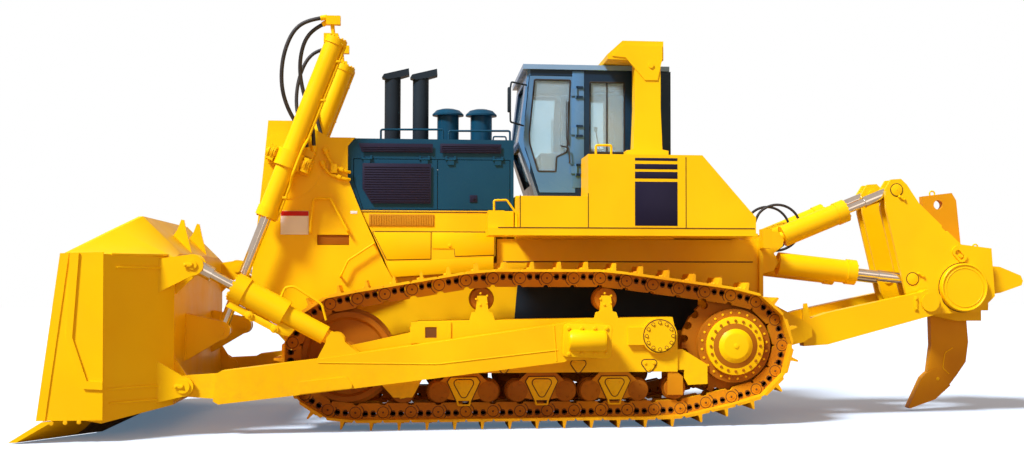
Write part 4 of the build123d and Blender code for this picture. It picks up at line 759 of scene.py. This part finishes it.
yoke = []
aside = axes_of(lift_line)[1]
for end_side in (-1, 1):
    for k in range(4):
        centre = beside(lift_line, 0.0, end_side * (0.185 + k * 0.022))
        yoke.append(drum("yoke_rib", centre, 0.098 if k % 2 else 0.090, 0.014, 0.003, 32, aside))
    yoke.append(drum("yoke_cap", beside(lift_line, 0.0, end_side * 0.272), 0.052, 0.020, 0.005, 24, aside))
fitted("yoke_ribs", yoke, "body_yellow", "lift_cylinder_barrels")
print("cylinders dressed")

# %% [markdown]
# ### Steel lines on the guard
# From the yoke two steel lines cross the guard's side to the hood, with hexagon couplings.

# %% Steel lines
lines = [
    rail("guard_line_upper", [(-3.010, -0.880, 3.330), (-2.970, -0.870, 3.230), (-2.900, -0.860, 3.110),
                              (-2.740, -0.850, 3.040), (-2.700, -0.815, 3.035)], 0.020, 0.05),
    rail("guard_line_lower", [(-3.040, -0.880, 3.170), (-3.010, -0.870, 3.090), (-2.930, -0.860, 3.000),
                              (-2.760, -0.850, 2.950), (-2.700, -0.815, 2.945)], 0.020, 0.05),
]
for place, r, length, towards in (((-2.995, -0.876, 3.295), 0.036, 0.060, (-0.42, 0, 0.9)),
                                  ((-3.028, -0.876, 3.140), 0.036, 0.060, (-0.36, 0, 0.93)),
                                  ((-2.800, -0.852, 3.063), 0.034, 0.045, (0.92, 0, -0.4)),
                                  ((-2.830, -0.852, 2.974), 0.034, 0.045, (0.92, 0, -0.4))):
    lines.append(drum("coupling", place, r, length, 0.004, 6, towards))
lines.append(plate("line_clamp", (-2.930, -0.885, 3.020), (-2.850, -0.818, 3.130), 0.006))
fitted("guard_lines", lines, "body_yellow")
print("steel lines:", len(lines), "pieces")

# %% [markdown]
# ## Cab trim
# Black rubber frames the panes, a wiper lies on the door glass, the door has a bar handle, and a
# mirror hangs on its arms in front of the pillar on the near side. Inside are four levers.

# %% Window seals, handle, wiper and mirror
cab_doors = "left_cab_door", "right_cab_door"
windows = {             # outline of the pane, what it rides on
    "door_seal": ([(-0.462, 4.190), (-0.525, 3.520), (-0.520, 3.400), (-0.420, 3.060), (-0.200, 3.060),
                   (-0.190, 3.240), (-0.060, 3.300), (-0.020, 4.190)], cab_doors),
    "side_window_seal": ([(0.225, 4.170), (0.225, 3.300), (0.650, 3.300), (0.650, 4.170)], "hull"),
}
for name, (outline, bodies) in windows.items():
    both_sides(side_rail(name, -0.948, outline + outline[:2], 0.010, 0.035), "hose_rubber", bodies)
handle = rail("door_handle", [(-0.135, -0.945, 3.380), (-0.135, -0.995, 3.370), (-0.045, -0.995, 3.350),
                              (-0.030, -0.995, 3.180), (-0.030, -0.945, 3.170)], 0.010, 0.03)
both_sides(handle, "dark_plastic", cab_doors)
wiper = [rail("wiper_arm", [(-0.035, -0.956, 3.380), (-0.045, -0.968, 3.460), (-0.050, -0.968, 3.920)], 0.007, 0.02),
         plate("wiper_blade", (-0.075, -0.966, 3.450), (-0.065, -0.955, 3.930), 0.002)]
fitted("wiper", wiper, "dark_plastic", cab_doors)
mirror = [rail("mirror_arm", [(-0.560, -0.935, 4.120), (-0.760, -1.130, 4.130), (-0.780, -1.150, 4.000),
                              (-0.770, -1.140, 3.640), (-0.600, -0.935, 3.620)], 0.011, 0.05),
          plate("mirror_back", (-0.805, -1.190, 3.760), (-0.765, -1.090, 4.060), 0.010)]
dressed(joined("mirror", mirror), "stack_black")
divider = plate("window_divider", (0.428, -0.935, 3.305), (0.446, -0.925, 4.165), 0.003)
both_sides(divider, "hose_rubber")
levers = []
for x, y in ((0.30, -0.46), (0.42, -0.46), (0.30, 0.46), (0.42, 0.40)):
    levers.append(rail("lever_rod", [(x, y, 3.36), (x - 0.04, y, 3.50), (x - 0.06, y, 3.62)], 0.009, 0.03))
    levers.append(drum("lever_knob", (x - 0.063, y, 3.64), 0.024, 0.060, 0.012, 20, (0, 0, 1)))
dressed(joined("levers", levers), "dark_plastic")
print("cab dressed")

# %% [markdown]
# ## Ripper fittings
# The cross tube's cover has a raised rim, the pins have caps and keeper plates with two bolts each,
# the shank and the beam carry lifting eyes, and a cross pin holds the tip.

# %% Rims, keepers and eyes
def ring_piece(name, centre, r, thick):
    """A round ring whose axis lies across the machine."""
    bpy.ops.mesh.primitive_torus_add(major_radius=r, minor_radius=thick, major_segments=48, minor_segments=10,
                                     location=centre, rotation=facing((0, 1, 0)))
    return settle(name)


tilt_pin, lift_pin = (4.250, 2.890), (4.452, 1.743)
keeper_y = -0.622
fittings = [ring_piece("drum_rim", (5.120, -0.700, 1.632), 0.296, 0.014),
            ring_piece("drum_seam", (5.120, -0.702, 1.632), 0.250, 0.005)]
for x, z in ((4.315, 2.790), (4.560, 1.800)):
    fittings.append(plate("keeper", (x - 0.050, keeper_y - 0.018, z - 0.018), (x + 0.050, keeper_y, z + 0.018),
                          0.005, 0.5))
    fittings += at_each(bolt("keeper_bolt", 0.014, 0.012), [(x - 0.032, keeper_y - 0.018, z + 0.010),
                                                            (x + 0.032, keeper_y - 0.018, z - 0.022)])
for x, z in (tilt_pin, lift_pin):
    fittings.append(drum("pin_cap", (x, -0.626, z), 0.075, 0.012, 0.004))
    fittings.append(drum("pin_cap_centre", (x, -0.6325, z), 0.012, 0.003, 0.001))
fittings.append(ring_piece("beam_eye", (5.430, -0.300, 2.165), 0.035, 0.011))
arm_keeper = [plate("arm_keeper", (4.395, -0.852, 1.335), (4.435, -0.833, 1.520), 0.005)]
arm_keeper += at_each(bolt("arm_keeper_bolt", 0.016, 0.012), [(4.415, -0.852, 1.365), (4.415, -0.852, 1.490)])
fitted("arm_keepers", arm_keeper, "body_yellow", "ripper_link")
fitted("ripper_fittings", fittings, "body_yellow", "ripper_carriage")
shank_bits = [ring_piece("shank_eye", (4.960, 0.0, 2.885), 0.035, 0.011),
              drum("tip_pin", (4.985, 0.0, 0.420), 0.022, 0.170, 0.004)]
shank_bits += [side_rail("shank_weld", y, [(5.200, 0.830), (5.090, 0.760), (5.060, 0.560), (5.150, 0.480)],
                         0.006, 0.06) for y in (-0.062, 0.062)]
dressed(joined("shank_bits", shank_bits), "body_yellow", "ripper_carriage")
print("ripper dressed")

# %% [markdown]
# ## Blade fittings
# The cutting edge is held by a row of bolts, and the pins carry retaining plates. Weld lines run
# along the arm where its plates meet.

# %% Edge bolts, pin plates and weld lines
edge_bolts = [drum("edge_bolt", (-5.300, y / 1000, 0.160), 0.024, 0.020, 0.004, 6, (-0.59, 0, 0.81))
              for y in range(-1450, 1451, 290)]
dressed(joined("edge_bolts", edge_bolts), "worn_steel", "blade")
pin_plates = []
for x, y, z in ((-4.360, -2.104, 1.890), (-4.443, -2.113, 0.547)):
    pin_plates.append(plate("pin_keeper", (x - 0.090, y - 0.012, z - 0.022), (x + 0.010, y + 0.004, z + 0.022), 0.004))
    pin_plates += at_each(bolt("pin_bolt", 0.013, 0.010), [(x - 0.072, y - 0.012, z), (x - 0.005, y - 0.012, z)])
fitted("blade_pin_plates", pin_plates, "body_yellow", "blade")
arm_out = -2.0955
welds = [side_rail("arm_weld", arm_out, [(-2.977, 0.800), (-1.645, 0.775), (-0.285, 0.926)], 0.007, 0.10),
         side_rail("arm_band", arm_out, [(-0.330, 1.200), (-0.300, 0.800)], 0.007)]
fitted("arm_details", welds, "frame_yellow", "push_frame")
print("blade and arms dressed")

# %% [markdown]
# ## Gaskets, seams and shadow gaps
# Covers sit on dark gaskets and panels meet with a small gap. Each gasket is the cover's outline grown
# by about a centimetre and laid just under it; each seam is a thin dark bead half sunk in the sheet.

# %% Outlines of covers
def grown(points, r, steps=6):
    """A convex outline grown by a distance, with round corners."""
    area = sum(x0 * z1 - x1 * z0 for (x0, z0), (x1, z1) in zip(points, points[1:] + points[:1]))
    order = points if area > 0 else points[::-1]
    outline = []
    for k, (xb, zb) in enumerate(order):
        (xa, za), (xc, zc) = order[k - 1], order[(k + 1) % len(order)]
        first = atan2(xa - xb, zb - za)
        sweep = (atan2(xb - xc, zc - zb) - first) % (2 * pi)
        for step in range(steps):
            angle = first + sweep * step / (steps - 1)
            outline.append((xb + r * cos(angle), zb + r * sin(angle)))
    return outline


def triangle(x, half, z, tip_z):
    """A triangle with its tip down, by its middle, half width, upper edge and tip."""
    return [(x - half, z), (x + half, z), (x, tip_z)]


bogie_xs = (-1.338, -0.428, 0.432)
bogie_cover = [(-0.185, 0.540), (-0.150, 0.590), (0.150, 0.590), (0.185, 0.540), (0.085, 0.320), (-0.085, 0.320)]
cover_outlines = [[(x + dx, z) for dx, z in bogie_cover] for x in bogie_xs]
cap_outlines = [triangle(x, 0.070, 0.525, 0.400) for x in bogie_xs]
print("bogies:", len(bogie_xs))

# %% Bogie covers and roller ends
cover_y, cap_y, roller_y = -1.636, -1.650, -1.610
fifth_turn = 1.257
bogie_parts, roller_ends = [], []
for x, cover, cap in zip(bogie_xs, cover_outlines, cap_outlines):
    bogie_parts.append(outline_plate("bogie_cover", cover, -1.607, cover_y, 0.006))
    bogie_parts.append(outline_plate("bogie_cap", grown(cap, 0.038), cover_y, cap_y, 0.004))
    bogie_parts += at_each(bolt("bogie_bolt", 0.019, 0.012), [(corner_x, cap_y, z) for corner_x, z in cap])
    bogie_parts.append(side_rail("bogie_guard", -1.625, [(x - 0.080, 0.350), (x - 0.065, 0.270),
                                                         (x + 0.065, 0.270), (x + 0.080, 0.350)], 0.011, 0.02))
    for roller_x in (x - 0.283, x + 0.283):
        roller_ends.append(drum("roller_end", (roller_x, roller_y, 0.425), 0.118, 0.010, 0.003, 40))
        roller_ends += at_each(bolt("roller_end_bolt", 0.013, 0.010), [
            (roller_x + 0.080 * cos(k * fifth_turn), roller_y - 0.005, 0.425 + 0.080 * sin(k * fifth_turn))
            for k in range(5)])
fitted("bogie_covers", bogie_parts, "frame_yellow")
fitted("roller_ends", roller_ends, "chain_brown")
print("roller ends:", 2 * len(bogie_xs))

# %% Gaskets under covers, and painted shade in the recoil recess
pivot_x, pivot_z = 0.964, 1.065
gaskets = []
for cover, cap in zip(cover_outlines, cap_outlines):
    gaskets.append(outline_plate("gasket", grown(cap, 0.050), cover_y, -1.6385, 0))
    gaskets.append(outline_plate("gasket", grown(cover, 0.012), -1.606, -1.612, 0))
for x in (-0.873, 0.004, 0.847):
    gaskets.append(outline_plate("gasket", grown(triangle(x, 0.050, 0.745, 0.675), 0.047), -1.619, -1.624, 0))
gaskets.append(drum("pivot_gasket", (pivot_x, -1.680, pivot_z), 0.198, 0.007, 0, 48))
# The recoil cover's square recess gets a dark plate of painted shade.
gaskets.append(plate("recoil_recess_shade", (-1.785, -1.6285, 1.055), (-1.655, -1.624, 1.175)))
gaskets += [drum("washer", place, 0.023, 0.002, 0, 16)
            for place in round_places(pivot_x, -1.7003, pivot_z, 0.158, 12)]
fitted("hull_gaskets_and_recess_shade", gaskets, "chain_dark")
print("gaskets:", len(gaskets))

# %% Beads along seams and painted shade on the hull's side
deck_seam_y, hull_seam_y, cowl_seam_y = -1.7005, -0.7005, -0.7805
seam_runs = [           # side plane, its two ends, radius
    (deck_seam_y, [(0.112, 2.345), (0.112, 2.745)], 0.005),
    (deck_seam_y, [(-0.690, 2.345), (-0.690, 2.720)], 0.005),
    (deck_seam_y, [(1.281, 2.345), (1.281, 3.185)], 0.005),
    (deck_seam_y, [(-0.948, 2.338), (2.112, 2.338)], 0.006),
    (hull_seam_y, [(-0.830, 1.955), (2.330, 1.955)], 0.008),
    (cowl_seam_y, [(-2.395, 2.318), (-0.950, 2.318)], 0.005),
    (cowl_seam_y, [(-2.560, 2.558), (-0.955, 2.558)], 0.006),
]
seams = [side_rail("seam", y, run, r) for y, run, r in seam_runs]
rear_gasket = [(-1.430, 2.310), (-0.945, 2.310), (-0.945, 2.035), (-1.420, 2.020), (-1.430, 2.150)]
seams += [outline_plate("cowl_gasket", grown(outline, 0.008, 3), -0.7803, -0.7830, 0)
          for outline in (front_cover, rear_gasket)]
fitted("panel_seams", seams, "chain_dark")
# A near-black sheet of painted shade lies on the hull's side under the deck, between the chain and the frame.
painted_shade_side = outline_plate("hull_side_painted_shade", [(-0.700, 1.100), (1.620, 1.100), (1.620, 1.600), (0.600, 1.740),
                                             (-0.640, 1.800)], hull_seam_y, -0.7045, 0)
both_sides(painted_shade_side, "stack_black")
skirt = outline_plate("cowl_skirt", [(-2.290, 1.990), (-0.950, 2.030), (-0.950, 1.840), (-2.200, 1.760)],
                      -0.779, -0.760)
both_sides(skirt, "body_yellow")
print("seams:", len(seams))

# %% [markdown]
# ### The links of the chain
# Each link overlaps the next with a round boss, and has two openings where the shoe bolts' nuts sit.
# Their shaded edges are what makes a track read as a chain, so each boss gets a ring of painted
# shade, each opening a floor of painted shade, and each overlap a curved dark line.

# %% Rings and floors of painted shade, and dark overlaps of the links
boss_shade_model = drum("boss_shade_ring", (0, -1.5458, 0), 0.069, 0.003, 0, 32)
window_shade_model = joined("window_shade_disc", [drum("window_shade_disc", (0, -1.5455, dz), 0.030, 0.003, 0, 20)
                                      for dz in (0.0, -0.018)])
arc = [(r * cos(a), r * sin(a)) for r, way in ((0.094, 1), (0.104, -1))
       for a in (pi + way * (k - 5) * 0.19 for k in range(11))]
lap_model = outline_plate("link_lap", arc, -1.5440, -1.5470, 0)
link_marks = []
for here, there, along, outward in links:
    turn = turned(along, (0, 1, 0), outward)
    link_marks.append(copied(boss_shade_model, "ring", in_side_plane(here)))
    link_marks.append(copied(lap_model, "lap", in_side_plane(here) @ turn))
    for t in (0.36, 0.64):
        place = here.lerp(there, t) + outward * 0.024
        link_marks.append(copied(window_shade_model, "window", in_side_plane(place) @ turn))
for model in (boss_shade_model, window_shade_model, lap_model):
    bpy.data.objects.remove(model)
fitted("link_marks", link_marks, "chain_dark")
print("links marked:", len(links))

# %% [markdown]
# ### Two finishes on one node
# The links get a brown of painted shade while the shoes keep their paint, the cutting edge is bare
# in its middle, and the cab's front is a lighter blue than the rest of its shell. The faces are
# chosen by where they lie and which way they face.

# %% Links, shoes, edge and cab by their faces
def second_finish(node, finish, chosen):
    """A second material on a CAD node, for the faces that a test picks."""
    mesh = nodes[node].data
    mesh.materials.append(finishes[finish])
    faces = [face for face in mesh.polygons if chosen(face)]
    for face in faces:
        face.material_index = len(mesh.materials) - 1
    print(node, finish, len(faces), "faces")


# The link sides take the brown of painted shade.
second_finish("tracks", "painted_shade_brown", lambda face: abs(face.center.y) < 1.5715 and (
    abs(face.normal.y) > 0.9 or 1.546 < abs(face.center.y)))
second_finish("cutting_edge", "worn_steel", lambda face: abs(face.center.y) < 1.95)
second_finish("cab_shell", "cab_blue", lambda face: face.normal.x < -0.5 and face.center.x < 0.3)

# %% [markdown]
# ### Hub, pivot cap and the cylinder's guard
# The final drive's hub is a yellow cone inside a ring of bolts. The push arm's end is closed by a
# bolted cap with a round back. A guard with two bosses runs under the blade's pitch cylinder.

# %% Hub cone, arm cap and cylinder guard
hub = [drum("hub_disc", (hub_x, -1.598, hub_z), 0.348, 0.070, 0.008, 64)]
bpy.ops.mesh.primitive_cone_add(vertices=64, radius1=0.235, radius2=0.150, depth=0.050,
                                location=(hub_x, -1.656, hub_z), rotation=(pi / 2, 0, 0))
hub.append(bevelled(settle("hub_cone"), 0.008, limit_method="ANGLE"))
hub.append(drum("hub_centre", (hub_x, -1.684, hub_z), 0.030, 0.010, 0.003))
fitted("hub", hub, "body_yellow")
hub_ring = at_each(bolt("hub_ring_bolt", 0.018, 0.014), round_places(hub_x, -1.633, hub_z, 0.302, 20))
fitted("hub_ring", hub_ring, "chain_brown")

cap_outline = grown([(-0.190, 0.900), (0.270, 0.880), (0.285, 1.160), (-0.175, 1.180)], 0.050)
arm_cap = [outline_plate("arm_cap_plate", cap_outline, -2.100, -2.168, 0.006),
           drum("arm_cap_back", (0.050, -2.150, 1.030), 0.125, 0.440, 0.040, 40, (1, 0, -0.03))]
arm_cap += at_each(bolt("arm_cap_bolt", 0.022, 0.018),
                   [(x, -2.168, z) for x in (-0.170, -0.020, 0.130, 0.265) for z in (0.885, 1.175)])
fitted("arm_caps", arm_cap, "body_yellow", "push_frame")

guard_places = [beside(pitch_line, *place) for place in ((0.46, 0.100), (0.64, 0.100), (0.66, 0.158), (1.235, 0.158),
                                                         (1.255, 0.235), (0.600, 0.235), (0.48, 0.200))]
guard = [outline_plate("pitch_guard", [(place.x, place.z) for place in guard_places], -1.900, -2.010, 0.006)]
for distance in (0.66, 0.98):
    boss = beside(pitch_line, distance, 0.200)
    guard.append(drum("guard_boss", (boss.x, -2.020, boss.z), 0.046, 0.030, 0.006))
    guard.append(drum("guard_boss_pin", (boss.x, -2.038, boss.z), 0.020, 0.012, 0.003))
fitted("pitch_guard", guard, "body_yellow", "pitch_cylinder_barrels")
print("hub, caps and guard placed")

# %% [markdown]
# ### Blade ribs and edge
# Horizontal ribs stiffen the wing's back at its upper and lower lug. The end bits are held by three
# bolts each.

# %% Wing ribs and end-bit bolts
def rib(start, end, z0, z1):
    """A flat rib that stands out of the wing's slanted back between two plan points."""
    (xa, ya), (xb, yb) = start, end
    bpy.ops.mesh.primitive_cube_add(size=1, location=((xa + xb) / 2, (ya + yb) / 2, (z0 + z1) / 2),
                                    rotation=(0, 0, atan2(yb - ya, xb - xa)))
    bpy.context.object.scale = (hypot(xb - xa, yb - ya), 0.060, z1 - z0)
    return bevelled(settle("wing_rib"), 0.005)


ribs = [rib((-5.150, -2.505), (-4.640, -1.985), 1.985, 2.010),
        rib((-5.100, -2.470), (-4.640, -1.985), 1.845, 1.868),
        rib((-5.175, -2.530), (-4.610, -1.955), 0.545, 0.570),
        rib((-5.150, -2.510), (-4.600, -1.945), 0.395, 0.418)]
fitted("wing_ribs", ribs, "body_yellow", "blade")
end_bolts = at_each(bolt("end_bit_bolt", 0.026, 0.008),
                    [(x, -2.6225, z) for x, z in ((-5.700, 0.210), (-5.560, 0.215), (-5.420, 0.220))])
fitted("end_bit_bolts", end_bolts, "frame_yellow", "blade")
print("blade dressed")

# %% [markdown]
# ### Cab pillar and ripper gaskets
# The pillar behind the door is in the light blue paint. The round covers on the ripper's carriage
# sit on dark gaskets.

# %% Pillar and ripper gaskets
pillar = plate("door_pillar", (0.004, -0.956, 2.860), (0.150, -0.948, 4.300), 0.003)
both_sides(pillar, "cab_blue")
gasket_y = -0.6225
ripper_dark = [drum("drum_gasket", (5.120, gasket_y, 1.632), 0.322, 0.004, 0, 64)]
ripper_dark += [drum("pin_gasket", (x, gasket_y, z), 0.086, 0.004, 0, 40) for x, z in (tilt_pin, lift_pin)]
fitted("ripper_gaskets", ripper_dark, "chain_dark", "ripper_carriage")
print("trim placed")
